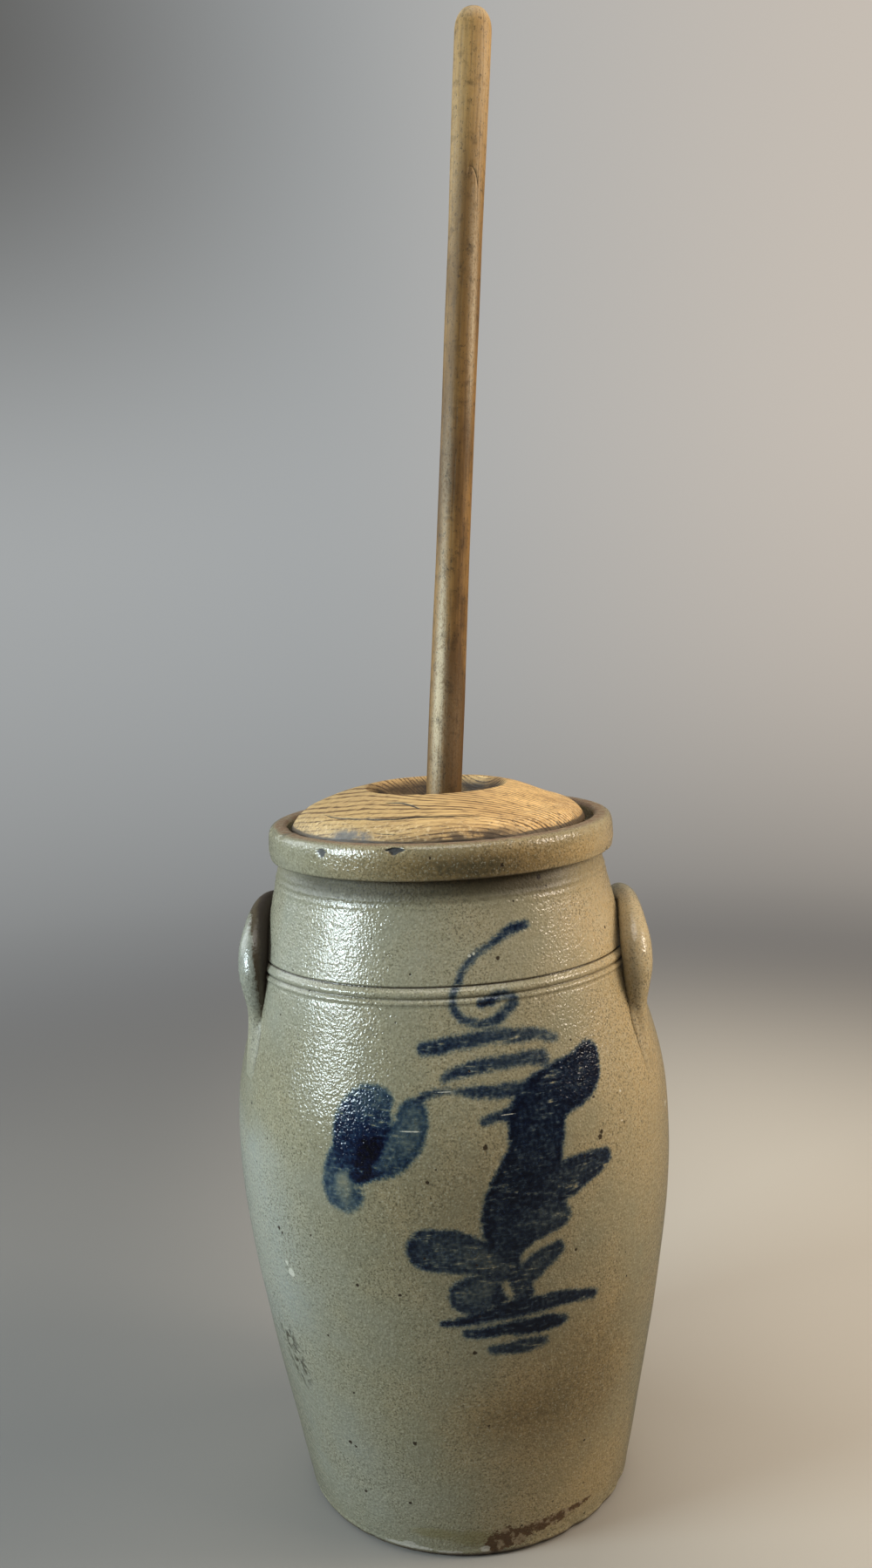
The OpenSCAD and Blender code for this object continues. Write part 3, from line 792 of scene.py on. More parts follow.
    scored = grains(tree, addNode(tree, "Mapping", {"Vector": place, "Rotation": look["pitTurn"], "Scale": (2.4, 2.4, 7)},
                                  vector_type="TEXTURE").outputs[0], 1.0, 2.0)
    pits = product(tree, ramp(tree, scored, 0.52, 0.57), attribute(tree, "pitted"))
    colour = blendColours(tree, product(tree, pits, 0.9), colour, look["grain"])
    depth = maths(tree, "SUBTRACT", skin["Height"], product(tree, pits, 2.4))
    depth = maths(tree, "SUBTRACT", depth, product(tree, spots, 0.4))
    normal = bumpFrom(tree, depth, look["peelDepth"])
    cloudy = ramp(tree, skin["Cloud"], 0.3, 0.7, look["roughness"] - 0.04, look["roughness"] + 0.06)
    cloudy = maths(tree, "SUBTRACT", cloudy, ramp(tree, height, 466, 474, 0.0, 0.04))
    dull = maths(tree, "MAXIMUM", bare, maths(tree, "MAXIMUM", worn, maths(tree, "MAXIMUM", underCollarShadeAndDirt, foot)))
    plug(tree, shader, {
        "Base Color": colour, "Roughness": maths(tree, "ADD", cloudy, product(tree, dull, 0.5)), "Normal": normal,
        "IOR": look["ior"]})
    return material


crockPiece = newPiece("crockBody", spinOutline(crockOutline(crock), crock["stretches"], crock["startAngle"]))
shapeCrock(crockPiece, crock)
finishPiece(crockPiece, "crock", "crock", crockMaterial(glazeLook))
print("crock built,", len(crockPiece.data.polygons), "faces")


# The lugs. Each point of the path is (distance from the middle, drop below the top,
# stand-off of the roll's middle from the wall, half thickness), in millimetres.
lugs = {
    "halfPath": [
        (0, 0, 7.4, 8), (17.9, 1.2, 7.8, 8.2), (34.5, 6, 9.2, 9.2), (50, 18, 11, 10.4), (57.5, 32, 10, 9.8),
        (58.5, 45, 6, 8.2), (58, 58, 1.8, 6.6), (59.5, 74, -0.6, 5.4), (61.5, 90, -2.2, 4.6), (63, 106, -5, 3.4)],
    "broad": 1.2,
    "steps": 5,
    "sides": 32,
    # How far out from the wall the inner side's brown and painted shade reach, by height; each side's dark scales it
    "innerShadeReach": [(352, 0.5), (358, 2.0), (374, 8.3), (386, 13.5), (400, 16.5), (419, 18.0)],
    "skirt": 5.5,
    "right": {"top": 415.5, "turn": 0.0, "out": 0.0, "dark": 0.15, "shade": 0.10, "warmth": -0.10, "dull": -0.10},
    "left": {"top": 419.5, "turn": 175.0, "out": 0.2, "dark": 1.0, "shade": -0.25, "warmth": -0.25, "dull": 0.11},
}


def makeLug(name, v, side):
    half = v["halfPath"]
    path = curveThrough([(-p[0], *p[1:]) for p in reversed(half[1:])] + half, v["steps"])
    turn = Matrix.Rotation(math.radians(side["turn"]), 3, "Z")
    places = []
    for across, drop, standOff, thick in path:
        height = side["top"] - drop
        radius = float(wallRadius(np.array([height]))[0]) + standOff + side["out"]
        places.append(Vector((math.sqrt(radius ** 2 - across ** 2), across, height)))
    stations = []
    for i, place in enumerate(places):
        along = (places[min(i + 1, len(places) - 1)] - places[max(i - 1, 0)]).normalized()
        out = Vector((place.x, place.y, 0)).normalized()
        sideways = along.cross(out).normalized()
        up = sideways.cross(along).normalized()
        thick = path[i][3]
        stations.append((turn @ place * mm, turn @ up, turn @ sideways, thick * mm, thick * v["broad"] * mm))
    piece = newPiece(name, loftOvals(stations, v["sides"]))
    mesh = piece.data
    places = getPlaces(mesh)
    normals = np.array([n.vector for n in mesh.vertex_normals])
    dents = 0.5 * (noiseAt(places, 26) - 0.5) + 0.35 * (noiseAt(places, 8) - 0.5)
    setPlaces(mesh, places + normals * dents[:, None] * mm)
    # The side that faces the wall is browner and duller, where less salt reached it, and darkens with painted shade
    # towards the wall
    heights = places[:, 2] / mm
    azimuths = np.degrees(np.arctan2(places[:, 0], -places[:, 1]))
    away = np.hypot(places[:, 0], places[:, 1]) / mm - wallRadius(heights)
    reach = side["dark"] * np.interp(heights, *zip(*v["innerShadeReach"]))
    inner = 1 - smoothStep(away + 1.2 * noiseAt(places, 9), reach - 13, reach + 0.8)
    setAttribute(mesh, "innerSideShade", inner)
    setAttribute(mesh, "dullSkin", np.maximum(0.9 * inner, side["dull"] + 0.45 * (1 - smoothStep(heights, 345, 372))))
    # The tails are smeared into the wall: near it they spread sideways
    centres = np.array([station[0] for station in stations])
    middles = np.repeat(np.degrees(np.arctan2(centres[:, 0], -centres[:, 1])), v["sides"])
    offMiddle = (azimuths - middles + 180) % 360 - 180
    spread = v["skirt"] * np.exp(-np.clip(away, 0, None) / 1.3) * (1 - smoothStep(heights, 346, 366))
    turns = np.radians(azimuths) + np.sign(offMiddle) * spread / 150
    radii = np.hypot(places[:, 0], places[:, 1])
    places[:, 0], places[:, 1] = radii * np.sin(turns), -radii * np.cos(turns)
    setPlaces(mesh, places)
    own = smoothStep(heights, 345, 372)
    setAttribute(mesh, "toneWithPaintedShade", cloudsAt(azimuths, heights, 0) + side["shade"] * own)
    setAttribute(mesh, "warmthWithPaintedLight", cloudsAt(azimuths, heights, 1) + side["warmth"] * own)
    return piece


def lugMaterial(look):
    material, tree, shader = newMaterial("lugGlaze")
    place = placeIn(tree)
    colour, skin = glazeColours(tree, place, look, attribute(tree, "toneWithPaintedShade"), attribute(tree, "warmthWithPaintedLight"))
    colour = blendColours(tree, product(tree, skin["Speck"], 0.8), colour, look["ironAndShade"])
    inner = attribute(tree, "innerSideShade")
    # The inner side turns brown and then near black by the wall: brown glaze and painted shade
    mottled = product(tree, maths(tree, "SUBTRACT", grains(tree, place, 3, 3.0, 0.6), 0.5), 0.5)
    mottled = maths(tree, "ADD", inner, product(tree, mottled, ramp(tree, inner, 0.0, 0.1)))
    colour = blendColours(tree, product(tree, ramp(tree, mottled, 0.0, 0.16), 0.92), colour, look["lugInnerBrownShade"])
    colour = blendColours(tree, product(tree, ramp(tree, mottled, 0.30, 0.72), 0.92), colour, look["ironAndShade"])
    normal = bumpFrom(tree, skin["Height"], look["lugDepth"])
    plug(tree, shader, {
        "Base Color": colour, "Normal": normal, "IOR": look["ior"],
        "Roughness": maths(tree, "ADD", look["roughness"], product(tree, attribute(tree, "dullSkin"), 0.7))})
    return material


lugGlaze = lugMaterial(glazeLook)
finishPiece(makeLug("lugRight", lugs, lugs["right"]), "crock", "handle_right", lugGlaze)
finishPiece(makeLug("lugLeft", lugs, lugs["left"]), "crock", "handle_left", lugGlaze)
print("lugs built")


# The lid: a board turned to a dome with a dish round the staff's hole
lid = {
    "left": 1.5,
    "seat": 471,
    "radius": 103,
    "height": 34.7,
    "lip": 50,
    "hole": 17,
    "dish": 16,
    "segments": 224,
    "cracks": [
        (1.20, 2.4, [(-84, -34), (-69, -56), (-55, -69), (-42, -76.5), (-30, -81), (-9, -83.5), (9, -85), (37, -82.4)]),
        (1.20, 2.8, [(-36, -55), (-24, -61), (-11, -73)]),
        (0.80, 1.8, [(-43, -88.5), (-35, -92.5), (-26, -95)]),
        (0.80, 1.8, [(24, -60), (48, -65), (66, -62), (84, -52)]),
        (0.60, 1.8, [(-60, 62), (-20, 72), (22, 69), (50, 74)]),
    ],
    "rightWear": 2.2,
    "pale": (0.745, 0.492, 0.202, 1),
    "deep": (0.48, 0.295, 0.112, 1),
    "weathered": (0.35, 0.244, 0.106, 1),
    "line": (0.105, 0.055, 0.020, 1),
    # The colour below is grease and painted shade in the dish
    "greaseAndShade": (0.030, 0.018, 0.009, 1),
    # The colour below is dirt in the cracks and on the lower edge, and painted shade where the lid meets the rim
    "dirtAndShade": (0.030, 0.020, 0.012, 1),
    "scuffed": (0.780, 0.610, 0.360, 1),
    # Scorched and greyed places along the lower front, as (x, half width, low, top, colour)
    "edgePatches": [(21, 32, 14, 18.5, (0.050, 0.030, 0.015, 1)), (-57, 18, 15, 20, (0.120, 0.126, 0.130, 1))],
    "spacing": (3.2, 2.9),
    "tiltLeft": math.radians(10),
    "tiltRight": math.radians(80),
}


def lidOutline(v):
    r, h, lip, hole, dish = (v[name] for name in ("radius", "height", "lip", "hole", "dish"))
    return withoutRepeats(
        straight((hole, 0), (r - 4.5, 0), 6)
        + bezier((r - 4.5, 0), (r - 2.5, 0.2), (r - 1.2, 1.2), (r - 0.9, 3), 4)
        + straight((r - 0.6, 4), (r, 8), 3)
        + bezier((r, 9), (r - 2, 15), (r - 8, 20.5), (r - 13, 22.6), 6)
        + bezier((r - 14, 23), (r - 24, 27.5), (lip + 14, 32.2), (lip + 2, h - 0.6), 22)
        + arc((lip, h - 2.2), 2.2, 60, 150, 5)
        + bezier((lip - 5, h - 6), (lip - 14, dish + 5), (hole + 12, dish + 0.5), (hole + 1.5, dish), 14)
        + arc((hole + 1.5, dish - 1.5), 1.5, 90, 180, 3)
        + straight((hole, dish - 2.5), (hole, 1), 3))


# Height of the lid's top above its seat at a distance from its middle
def lidTop(distance, v):
    top = [p for p in lidOutline(v) if p[1] > 8 and p[0] > v["lip"]]
    return float(np.interp(distance, [p[0] for p in reversed(top)], [p[1] for p in reversed(top)]))


# Cuts a crack that tapers to both ends along places on a surface, in millimetres, with the ways out of it
def cutCrack(piece, width, depth, places, outs):
    stations = []
    last = len(places) - 1
    for i, (place, out) in enumerate(zip(places, outs)):
        along = (places[min(i + 1, last)] - places[max(i - 1, 0)]).normalized()
        taper = 0.08 + math.sin(math.pi * i / last) ** 0.45 if 0 < i < last else 0.08
        sideways = along.cross(out).normalized()
        place = place + sideways * 0.7 * noise.noise(place * 0.11)
        stations.append((place * mm, out, sideways, depth * taper * mm, width * taper * mm))
    cutWith(piece, newPiece("crackCutter", loftOvals(stations, 4)))
    return [place - out * deep for place, out, sideways, deep, wide in stations]


# Marks the deepest places of the cracks, for their dirt
def markCracks(piece, deepest):
    found = kdtree.KDTree(len(deepest))
    for i, place in enumerate(deepest):
        found.insert(place, i)
    found.balance()
    near = [found.find(Vector(p))[2] < 0.01 * mm for p in getPlaces(piece.data)]
    setAttribute(piece.data, "cracked", near)


def makeLid(v):
    piece = newPiece("turnedLid", spinOutline(lidOutline(v), [(360, v["segments"])], closed=True))
    mesh = piece.data
    places = getPlaces(mesh)
    radii = np.hypot(places[:, 0], places[:, 1]) / mm
    heights = places[:, 2] / mm
    worn = smoothStep(radii, 20, 40) * smoothStep(heights, 4, 12)
    grainWise = places * np.array([0.25, 1, 1])
    places[:, 2] -= mm * worn * (0.5 * (1 + noiseAt(grainWise, 12)) * 0.5 + 0.4 * (1 + noiseAt(places, 45)))
    side = smoothStep(places[:, 0] / mm / np.maximum(radii, 1), 0.1, 0.95)
    wear = smoothStep(radii, 52, 80) * (1 - smoothStep(radii, 84, 103))
    places[:, 2] -= mm * v["rightWear"] * side * wear * smoothStep(heights, 8, 16)
    squeeze = 1 - 0.006 * (0.5 + 0.5 * noiseAt(places, 60)) * smoothStep(radii, 60, 100)
    places[:, 0] *= squeeze
    places[:, 1] *= squeeze
    places += np.array([-v["left"], 0, v["seat"]]) * mm
    setPlaces(mesh, places)
    deepest = []
    for width, depth, points in v["cracks"]:
        path = curveThrough(points, 8)
        tops = [Vector((x - v["left"], y, lidTop(math.hypot(x, y), v) + v["seat"])) for x, y in path]
        deepest += cutCrack(piece, width, depth, tops, [Vector((x, y, 40)).normalized() for x, y in path])
    markCracks(piece, deepest)
    piece.data.name = "turnedLid"
    return piece


def lidMaterial(v):
    material, tree, shader = newMaterial("weatheredLidWood")
    place = placeIn(tree, Matrix.Translation((-v["left"] * mm, 0, v["seat"] * mm)))
    x, y, z = addNode(tree, "SeparateXYZ", {0: place}).outputs
    # The growth layers lie flat on the left of the board and turn upright to the right
    tilt = ramp(tree, x, -50, 85, v["tiltLeft"], v["tiltRight"])
    layer = maths(tree, "ADD", maths(tree, "MULTIPLY", maths(tree, "ADD", y, 84.0), maths(tree, "SINE", tilt)),
                  maths(tree, "MULTIPLY", maths(tree, "SUBTRACT", z, 24.0), maths(tree, "COSINE", tilt)))
    spacing = ramp(tree, x, 0, 85, *v["spacing"])
    wood = useGroup(tree, woodGroup, {"Place": place, "Layer": layer, "Spacing": spacing, "Waves": 0.6, "Width": 0.26})
    pores = ramp(tree, grains(tree, stretched(tree, place, (0.07, 0.9, 0.9)), 1.0, 2.0), 0.56, 0.66)
    colour = blendColours(tree, ramp(tree, wood["Cloud"], 0.34, 0.68), v["pale"], v["deep"])
    colour = blendColours(tree, ramp(tree, x, 62, -50, 0.0, 0.72), colour, v["weathered"])
    colour = blendColours(tree, product(tree, ramp(tree, wood["Fibre"], 0.52, 0.3), 0.5), colour, v["deep"])
    colour = blendColours(tree, product(tree, wood["Line"], ramp(tree, x, 10, 70, 1.9, 2.8)), colour, v["line"])
    colour = blendColours(tree, product(tree, pores, 0.75), colour, v["line"])
    colour = blendColours(tree, ramp(tree, attribute(tree, "cracked"), 0.05, 0.5), colour, v["dirtAndShade"])
    # Dark grease with painted shade in the dish, dirt along the lower edge and sides, and a band of painted shade where
    # the lid meets the rim
    blotch = grains(tree, place, 14, 4.0, 0.6)
    flat = addNode(tree, "CombineXYZ", {0: x, 1: y}).outputs[0]
    reach = addNode(tree, "VectorMath", {0: flat}, operation="LENGTH").outputs["Value"]
    dish = product(tree, ramp(tree, reach, 49.5, 44), ramp(tree, z, 34.5, 30.5), ramp(tree, blotch, 0.3, 0.6, 0.72, 1.0))
    colour = blendColours(tree, dish, colour, v["greaseAndShade"])
    scuffs = product(tree, ramp(tree, grains(tree, place, 2.4, 3.0, 0.6), 0.50, 0.66), ramp(tree, z, 26, 17), 0.42)
    colour = blendColours(tree, scuffs, colour, v["scuffed"])
    for middle, half, low, top, tint in v["edgePatches"]:
        patch = product(tree, ramp(tree, maths(tree, "ABSOLUTE", maths(tree, "SUBTRACT", x, middle)), half, half * 0.5),
                        ramp(tree, y, -68, -78), ramp(tree, z, top, low), ramp(tree, blotch, 0.36, 0.52))
        colour = blendColours(tree, product(tree, patch, 0.85), colour, tint)
    # Dirt in patches low on the lid, and a band of painted shade just above the rim where the lid sinks behind it
    edge = product(tree, ramp(tree, z, 18.0, 9.0), ramp(tree, blotch, 0.42, 0.60))
    edge = maths(tree, "MAXIMUM", edge, ramp(tree, maths(tree, "ADD", z, product(tree, blotch, 3.0)), 14.2, 12.8))
    colour = blendColours(tree, product(tree, edge, 0.9), colour, v["dirtAndShade"])
    height = maths(tree, "SUBTRACT", wood["Height"], product(tree, blotch, 0.3))
    plug(tree, shader, {"Base Color": colour, "Roughness": ramp(tree, wood["Cloud"], 0.3, 0.7, 0.5, 0.66),
                        "Normal": bumpFrom(tree, height, 0.45)})
    return material


lidPiece = makeLid(lid)
finishPiece(lidPiece, "lid", "lid", lidMaterial(lid))
print("lid built")


# The dasher's staff and the cross at its foot
staff = {
    "lean": 4.8,
    "right": 2.1,
    "above": 532,
    "radius": 12.5,
    "waist": 11.6,
    "crown": 15,
    "tenon": 9.5,
    "board": 18,
    "boardReach": (136 / 2 + 36 / 2 - 7) * math.sin(math.radians(45)),
    "kerf": 2.4,
    "kerfDeep": 14,
    "segments": 56,
    "pale": (0.232, 0.130, 0.042, 1),
    "deep": (0.095, 0.048, 0.015, 1),
    "top": (0.395, 0.238, 0.080, 1),
    "line": (0.060, 0.034, 0.014, 1),
    "grime": (0.030, 0.019, 0.010, 1),
    # The colour below is rubbed wood and painted highlight streaks
    "worn": (0.520, 0.425, 0.280, 1),
    # Where hands have rubbed it pale, with painted highlight streaks, as (azimuth, height, spread across in degrees,
    # spread up, amount)
    "rubbedAndSheen": [(40, 805, 13, 55, 0.9), (30, 872, 16, 45, 0.6), (-30, 570, 17, 60, 1.5), (-34, 640, 16, 50, 0.6),
               (42, 970, 34, 45, 0.5), (-50, 930, 28, 80, 0.3), (-40, 720, 25, 45, 0.35), (-35, 540, 24, 45, 0.4), (30, 545, 30, 45, 0.2)],
    # Where they have darkened it, in the same way
    "soiled": [(-15, 855, 50, 50, 0.65), (0, 760, 60, 45, 0.35), (-10, 905, 30, 25, 0.35)],
    "cracks": [(0.45, 0.8, [(0, 911), (14, 911.5), (26, 908), (33, 903), (37, 899)]),
               (0.35, 0.5, [(-6, 739), (6, 742), (20, 741), (30, 737)])],
}


def staffFrame(v):
    lean = math.radians(v["lean"])
    low = crock["floor"] + v["boardReach"] * math.sin(lean) + 0.5
    up = Vector((math.sin(lean), 0, math.cos(lean)))
    long = (crock["height"] - low) / math.cos(lean)
    foot = (Vector((v["right"], 0, crock["height"])) - long * up) * mm
    return Matrix.Translation(foot) @ Matrix.Rotation(lean, 4, "Y"), long + v["above"]


staffMatrix, staffLength = staffFrame(staff)


def staffOutline(v, length):
    r, waist, board = v["radius"], v["waist"], v["board"]
    top = r - 0.1
    return withoutRepeats(
        straight((0, 0), (v["tenon"] - 0.6, 0), 2)
        + straight((v["tenon"], 0.6), (v["tenon"], board), 4)
        + straight((v["tenon"] + 1, board), (r + 1.5, board), 2)
        + straight((r + 2.5, board + 1), (r + 2.5, board + 9), 3)
        + bezier((r + 2.5, board + 10), (r + 2.4, board + 16), (r, board + 20), (r, board + 27), 6)
        + straight((r, board + 30), (r, length - 455), 60)
        + straight((r, length - 450), (waist, length - 355), 12)
        + straight((waist, length - 350), (waist, length - 150), 34)
        + straight((waist, length - 146), (top, length - 45), 16)
        + straight((top, length - 42), (top, length - v["crown"] - 2), 5)
        + bezier((top, length - v["crown"]), (top, length - 6), (top - 4, length - 0.5), (3.5, length), 12)
        + straight((2.5, length), (0, length), 1))


def makeStaff(v):
    piece = newPiece("dasherStaff", spinOutline(staffOutline(v, staffLength), [(360, v["segments"])]))
    mesh = piece.data
    places = getPlaces(mesh)
    angles = np.arctan2(places[:, 1], places[:, 0])
    above = smoothStep(places[:, 2] / mm, v["board"] + 12, v["board"] + 60)
    # Hand-drawn flats that wander slowly along the staff
    twist = 1.2 * noiseAt(places * np.array([0, 0, 1]), 260)
    flats = 0.011 * (np.cos(7 * (angles + twist)) - 1) * 0.5
    dents = 0.016 * (noiseAt(places * np.array([1, 1, 0.25]), 16) - 0.6)
    scale = 1 + above * (flats + dents)
    places[:, 0] *= scale
    places[:, 1] *= scale
    setPlaces(mesh, places)
    mesh.transform(staffMatrix)
    bm = bmesh.new()
    bmesh.ops.create_cube(bm, size=1, matrix=staffMatrix @ Matrix.Translation((0, 0, (v["kerfDeep"] - 1) / 2 * mm))
                          @ Matrix.Diagonal((30 * mm, v["kerf"] * mm, (v["kerfDeep"] + 1) * mm, 1)))
    cutWith(piece, newPiece("kerfCutter", bm))
    lean = math.radians(v["lean"])
    deepest = []
    for width, depth, points in v["cracks"]:
        path = curveThrough(points, 6)
        outs = [Vector((math.sin(math.radians(turn)), -math.cos(math.radians(turn)), 0)) for turn, level in path]
        tops = [Vector((v["right"] + (level - crock["height"]) * math.tan(lean), 0, level)) + out * (v["radius"] - 0.5)
                for (turn, level), out in zip(path, outs)]
        deepest += cutCrack(piece, width, depth, tops, outs)
    markCracks(piece, deepest)
    places = getPlaces(piece.data) / mm
    middle = v["right"] + (places[:, 2] - crock["height"]) * math.tan(lean)
    azimuths = np.degrees(np.arctan2(places[:, 0] - middle, -places[:, 1]))
    for name in ("rubbedAndSheen", "soiled"):
        total = np.zeros(len(places))
        for azimuth, level, wide, tall, amount in v[name]:
            turn = (azimuths - azimuth + 180) % 360 - 180
            total += amount * np.exp(-(turn / wide) ** 2 - ((places[:, 2] - level) / tall) ** 2)
        setAttribute(piece.data, name, total)
    piece.data.name = "dasherStaff"
    return piece


# The frame whose X runs along the grain of a piece on the staff
def grainFrame(turn):
    return staffMatrix @ Matrix.Rotation(math.radians(turn), 4, "Z")


def staffMaterial(v):
    material, tree, shader = newMaterial("handledStaffWood")
    along = staffMatrix @ Matrix.Rotation(math.radians(-90), 4, "Y")
    place = placeIn(tree, along)
    x, y, z = addNode(tree, "SeparateXYZ", {0: place}).outputs
    offCentre = addNode(tree, "CombineXYZ", {0: maths(tree, "ADD", y, 16.0), 1: maths(tree, "SUBTRACT", z, 9.0)}).outputs[0]
    layer = addNode(tree, "VectorMath", {0: offCentre}, operation="LENGTH").outputs["Value"]
    wood = useGroup(tree, woodGroup, {"Place": place, "Layer": layer, "Spacing": 2.6, "Waves": 0.5})
    blotch = grains(tree, stretched(tree, place, (0.012, 0.06, 0.06)), 1.0, 4.0, 0.6)
    colour = blendColours(tree, ramp(tree, blotch, 0.36, 0.62), v["pale"], v["deep"])
    colour = blendColours(tree, ramp(tree, x, staffLength - 260, staffLength - 20, 0.0, 0.75), colour, v["top"])
    colour = blendColours(tree, attribute(tree, "soiled"), colour, v["deep"])
    colour = blendColours(tree, product(tree, wood["Line"], 0.35), colour, v["line"])
    colour = blendColours(tree, product(tree, ramp(tree, wood["Fibre"], 0.5, 0.3), 0.35), colour, v["line"])
    fine = grains(tree, stretched(tree, place, (0.35, 0.6, 0.6)), 1.0, 4.0, 0.65)
    # Rubbed pale places with painted highlight streaks, and a paler top end
    worn = maths(tree, "ADD", attribute(tree, "rubbedAndSheen"), ramp(tree, x, staffLength - 12, staffLength - 2, 0.0, 0.6))
    worn = product(tree, worn, ramp(tree, fine, 0.34, 0.58, 0.35, 1.0))
    colour = blendColours(tree, product(tree, worn, 0.8), colour, v["worn"])
    grime = maths(tree, "ADD", product(tree, ramp(tree, grains(tree, place, 9, 5.0, 0.7), 0.5, 0.72), 0.5),
                  product(tree, ramp(tree, fine, 0.54, 0.68), 0.6))
    grime = maths(tree, "ADD", grime, ramp(tree, attribute(tree, "cracked"), 0.05, 0.5))
    colour = blendColours(tree, grime, colour, v["grime"])
    plug(tree, shader, {"Base Color": colour, "Roughness": ramp(tree, blotch, 0.3, 0.7, 0.46, 0.60),
                        "Specular IOR Level": 0.2, "Normal": bumpFrom(tree, wood["Height"], 0.22)})
    return material


staffPiece = makeStaff(staff)
finishPiece(staffPiece, "dasher", "dasher_staff", staffMaterial(staff))
print("staff built")


# Copy of a CAD solid with its sharp edges eased
def easedCopy(node, name, width):
    bm = bmesh.new()
    bm.from_mesh(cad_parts[node].data)
    bmesh.ops.remove_doubles(bm, verts=bm.verts, dist=0.002 * mm)
    bmesh.ops.dissolve_limit(bm, angle_limit=math.radians(1), verts=bm.verts, edges=bm.edges)
    sharp = [e for e in bm.edges if e.is_manifold and e.calc_face_angle() > math.radians(40)]
    bmesh.ops.bevel(bm, geom=sharp, offset=width * mm, segments=2, profile=0.5, affect="EDGES", material=-1)
    bmesh.ops.triangulate(bm, faces=bm.faces)
    piece = newPiece(name, bm)
    piece.data.set_sharp_from_angle(angle=math.radians(35))
    return piece


def boardMaterial(name, turn, pale, deep, line):
    material, tree, shader = newMaterial(name)
    place = placeIn(tree, grainFrame(turn))
    x, y, z = addNode(tree, "SeparateXYZ", {0: place}).outputs
    layer = addNode(tree, "VectorMath", {0: addNode(tree, "CombineXYZ", {0: y, 1: maths(tree, "ADD", z, 40.0)}).outputs[0]},
                    operation="LENGTH").outputs["Value"]
    wood = useGroup(tree, woodGroup, {"Place": place, "Layer": layer, "Spacing": 3.2, "Waves": 0.9})
    colour = blendColours(tree, ramp(tree, wood["Cloud"], 0.3, 0.7), pale, deep)
    colour = blendColours(tree, product(tree, wood["Line"], 0.6), colour, line)
    plug(tree, shader, {"Base Color": colour, "Roughness": 0.6, "Normal": bumpFrom(tree, wood["Height"], 0.22)})
    return material


boardTones = ((0.36, 0.24, 0.125, 1), (0.21, 0.13, 0.060, 1), (0.085, 0.050, 0.022, 1))
pegTones = ((0.22, 0.125, 0.055, 1), (0.12, 0.068, 0.030, 1), (0.05, 0.028, 0.013, 1))
crossParts = [
    ("cross_board_upper", "crossBoardUpper", 1.0, "board_wood", boardMaterial("upperBoardWood", 45, *boardTones)),
    ("cross_board_lower", "crossBoardLower", 1.0, "board_wood", boardMaterial("lowerBoardWood", -45, *boardTones)),
    ("tenon_wedge", "tenonWedge", 0.15, "peg_wood", boardMaterial("wedgeWood", 0, *pegTones)),
    ("lap_pegs", "lapPegs", 0.25, "peg_wood", boardMaterial("pegWood", 45, *pegTones)),
]
for node, name, width, slot, material in crossParts:
    finishPiece(easedCopy(node, name, width), "dasher", node, material)
print("cross built")


# Floor and backdrop, and soft studio light. Lengths in metres, turns in degrees to the right of the front.
studio = {
    # The two colours below paint the near floor darker on the left and paler on the right, as painted shade and light
    "floorShadeLeft": (0.150, 0.147, 0.141, 1),
    "floorLitRight": (0.370, 0.339, 0.294, 1),
    "mirrored": (0.080, 0.079, 0.075, 1),
    "floorRadius": 1.7,
    "wallRadius": 2.6,
    "wallHeight": 4.5,
    "wallDim": (0.100, 0.099, 0.095, 1),
    "wallCool": (0.385, 0.400, 0.405, 1),
    "wallWarm": (0.580, 0.520, 0.455, 1),
    "lowCool": (0.175, 0.178, 0.178, 1),
    "lowWarm": (0.150, 0.139, 0.127, 1),
    "lamps": {
        "windowLamp": {"turn": -67, "rise": 16, "far": 1.7, "size": (0.58, 0.57), "power": 33.0,
                       "colour": (0.80, 0.94, 1.0)},
        "leftLamp": {"turn": -108, "rise": 26, "far": 1.9, "size": (1.3, 1.3), "power": 16.5,
                     "colour": (0.90, 0.97, 1.0)},
        "rightLamp": {"turn": 84, "rise": 30, "far": 1.9, "size": (1.8, 1.8), "power": 40.0,
                      "colour": (1.0, 0.88, 0.72), "glossy": False},
        "rimLamp": {"turn": 80, "rise": 25, "far": 1.9, "size": (0.46, 0.60), "power": 14.0,
                    "colour": (1.0, 0.87, 0.73)},
        "backLamp": {"turn": 172, "rise": 34, "far": 2.0, "size": (1.8, 1.8), "power": 18.0,
                     "colour": (1.0, 0.97, 0.93), "glossy": False},
        "topLamp": {"turn": 10, "rise": 78, "far": 1.9, "size": (1.3, 1.3), "power": 15.0,
                    "colour": (1.0, 0.97, 0.93)},
    },
    "aim": (0, 0, 0.4),
    "world": (0.95, 0.97, 1.0),
    "worldStrength": 0.09,
}


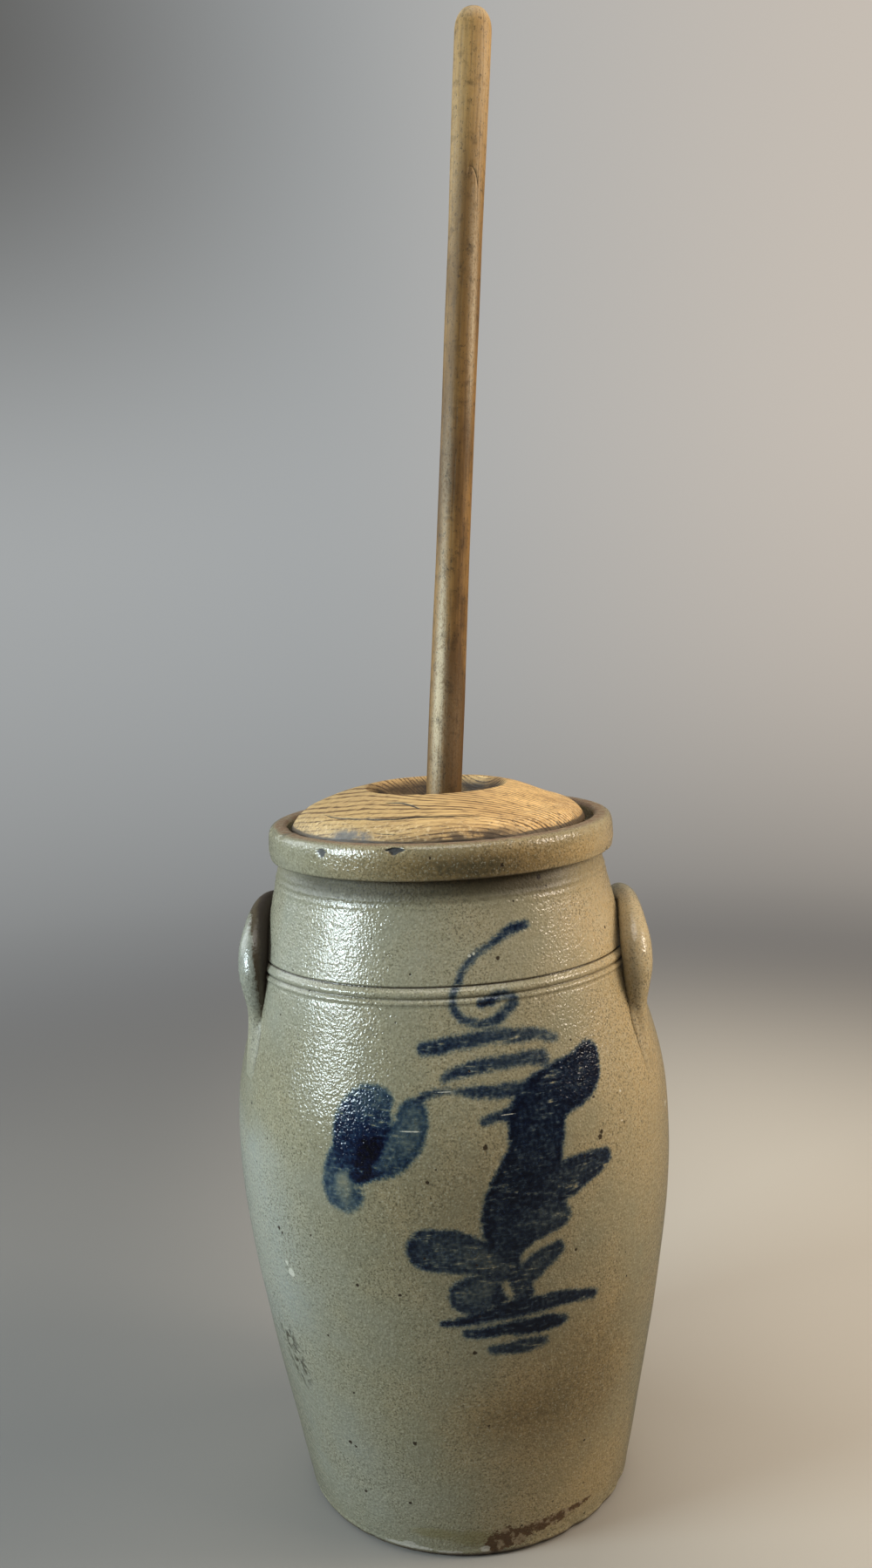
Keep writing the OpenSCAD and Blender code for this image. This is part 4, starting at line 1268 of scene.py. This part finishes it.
def makeStudio(v):
    material, tree, shader = newMaterial("paperSweep")
    place = placeIn(tree)
    x, y, z = addNode(tree, "SeparateXYZ", {0: place}).outputs
    reachFloor, far, high = v["floorRadius"] / mm, v["wallRadius"] / mm, v["wallHeight"] / mm
    flat = addNode(tree, "CombineXYZ", {0: x, 1: y}).outputs[0]
    reach = addNode(tree, "VectorMath", {0: flat}, operation="LENGTH").outputs["Value"]
    # The wall's light falls off down the sweep and out over the floor, and at the upper left
    up = ramp(tree, maths(tree, "ADD", z, maths(tree, "SUBTRACT", reach, far)), -1700, 1200)
    wall = blendColours(tree, up, blendColours(tree, ramp(tree, x, -700, 900), v["lowCool"], v["lowWarm"]),
                        blendColours(tree, ramp(tree, x, -400, 1400), v["wallCool"], v["wallWarm"]))
    dim = product(tree, ramp(tree, x, 300, -1300), ramp(tree, z, 700, 2000), ramp(tree, y, 500, 1500))
    wall = blendColours(tree, dim, wall, v["wallDim"])
    # The paper's far part shines by itself to the camera, so that the lamps stay on the object
    shine = ramp(tree, reach, 500, reachFloor - 50)
    seen = addNode(tree, "LightPath").outputs["Is Camera Ray"]
    # Painted shade and light on the near floor: darker to the left, paler to the right
    near = blendColours(tree, ramp(tree, x, -420, 420), v["floorShadeLeft"], v["floorLitRight"])
    near = blendColours(tree, addNode(tree, "LightPath").outputs["Is Glossy Ray"], near, v["mirrored"])
    plug(tree, shader, {
        "Base Color": blendColours(tree, product(tree, shine, seen), near, (0, 0, 0, 1)), "Roughness": 0.9,
        "Specular IOR Level": 0.0, "Emission Color": wall, "Emission Strength": product(tree, shine, seen)})
    floorBm = spinOutline(straight((0, 0), (reachFloor, 0), 3), [(360, 96)])
    wallBm = spinOutline(straight((reachFloor, 0), (far - 600, 0), 2) + arc((far - 600, 600), 600, -90, 0, 16)[1:]
                         + [(far, high)], [(360, 96)])
    for name, bm in (("floor", floorBm), ("backdrop", wallBm)):
        piece = newPiece(name, bm)
        piece.data.materials.append(material)
    for ray in ("visible_diffuse", "visible_glossy", "visible_shadow", "visible_transmission"):
        setattr(piece, ray, False)


def makeLights(v):
    for name, lamp in v["lamps"].items():
        light = bpy.data.lights.new(name, "AREA")
        light.shape = "RECTANGLE"
        light.size, light.size_y = lamp["size"]
        light.energy = lamp["power"]
        light.color = lamp["colour"]
        holder = bpy.data.objects.new(name, light)
        turn, rise = math.radians(lamp["turn"]), math.radians(lamp["rise"])
        away = Vector((math.sin(turn) * math.cos(rise), -math.cos(turn) * math.cos(rise), math.sin(rise)))
        holder.location = Vector(v["aim"]) + away * lamp["far"]
        holder.rotation_euler = (-away).to_track_quat("-Z", "Y").to_euler()
        holder.visible_camera = False
        holder.visible_glossy = lamp.get("glossy", True)
        bpy.context.scene.collection.objects.link(holder)
    world = bpy.data.worlds.new("studioWorld")
    world.use_nodes = True
    sky = world.node_tree.nodes["Background"]
    sky.inputs["Color"].default_value = (*v["world"], 1)
    sky.inputs["Strength"].default_value = v["worldStrength"]
    bpy.context.scene.world = world


makeStudio(studio)
makeLights(studio)
bpy.context.scene.view_settings.view_transform = "Standard"
print("studio built")
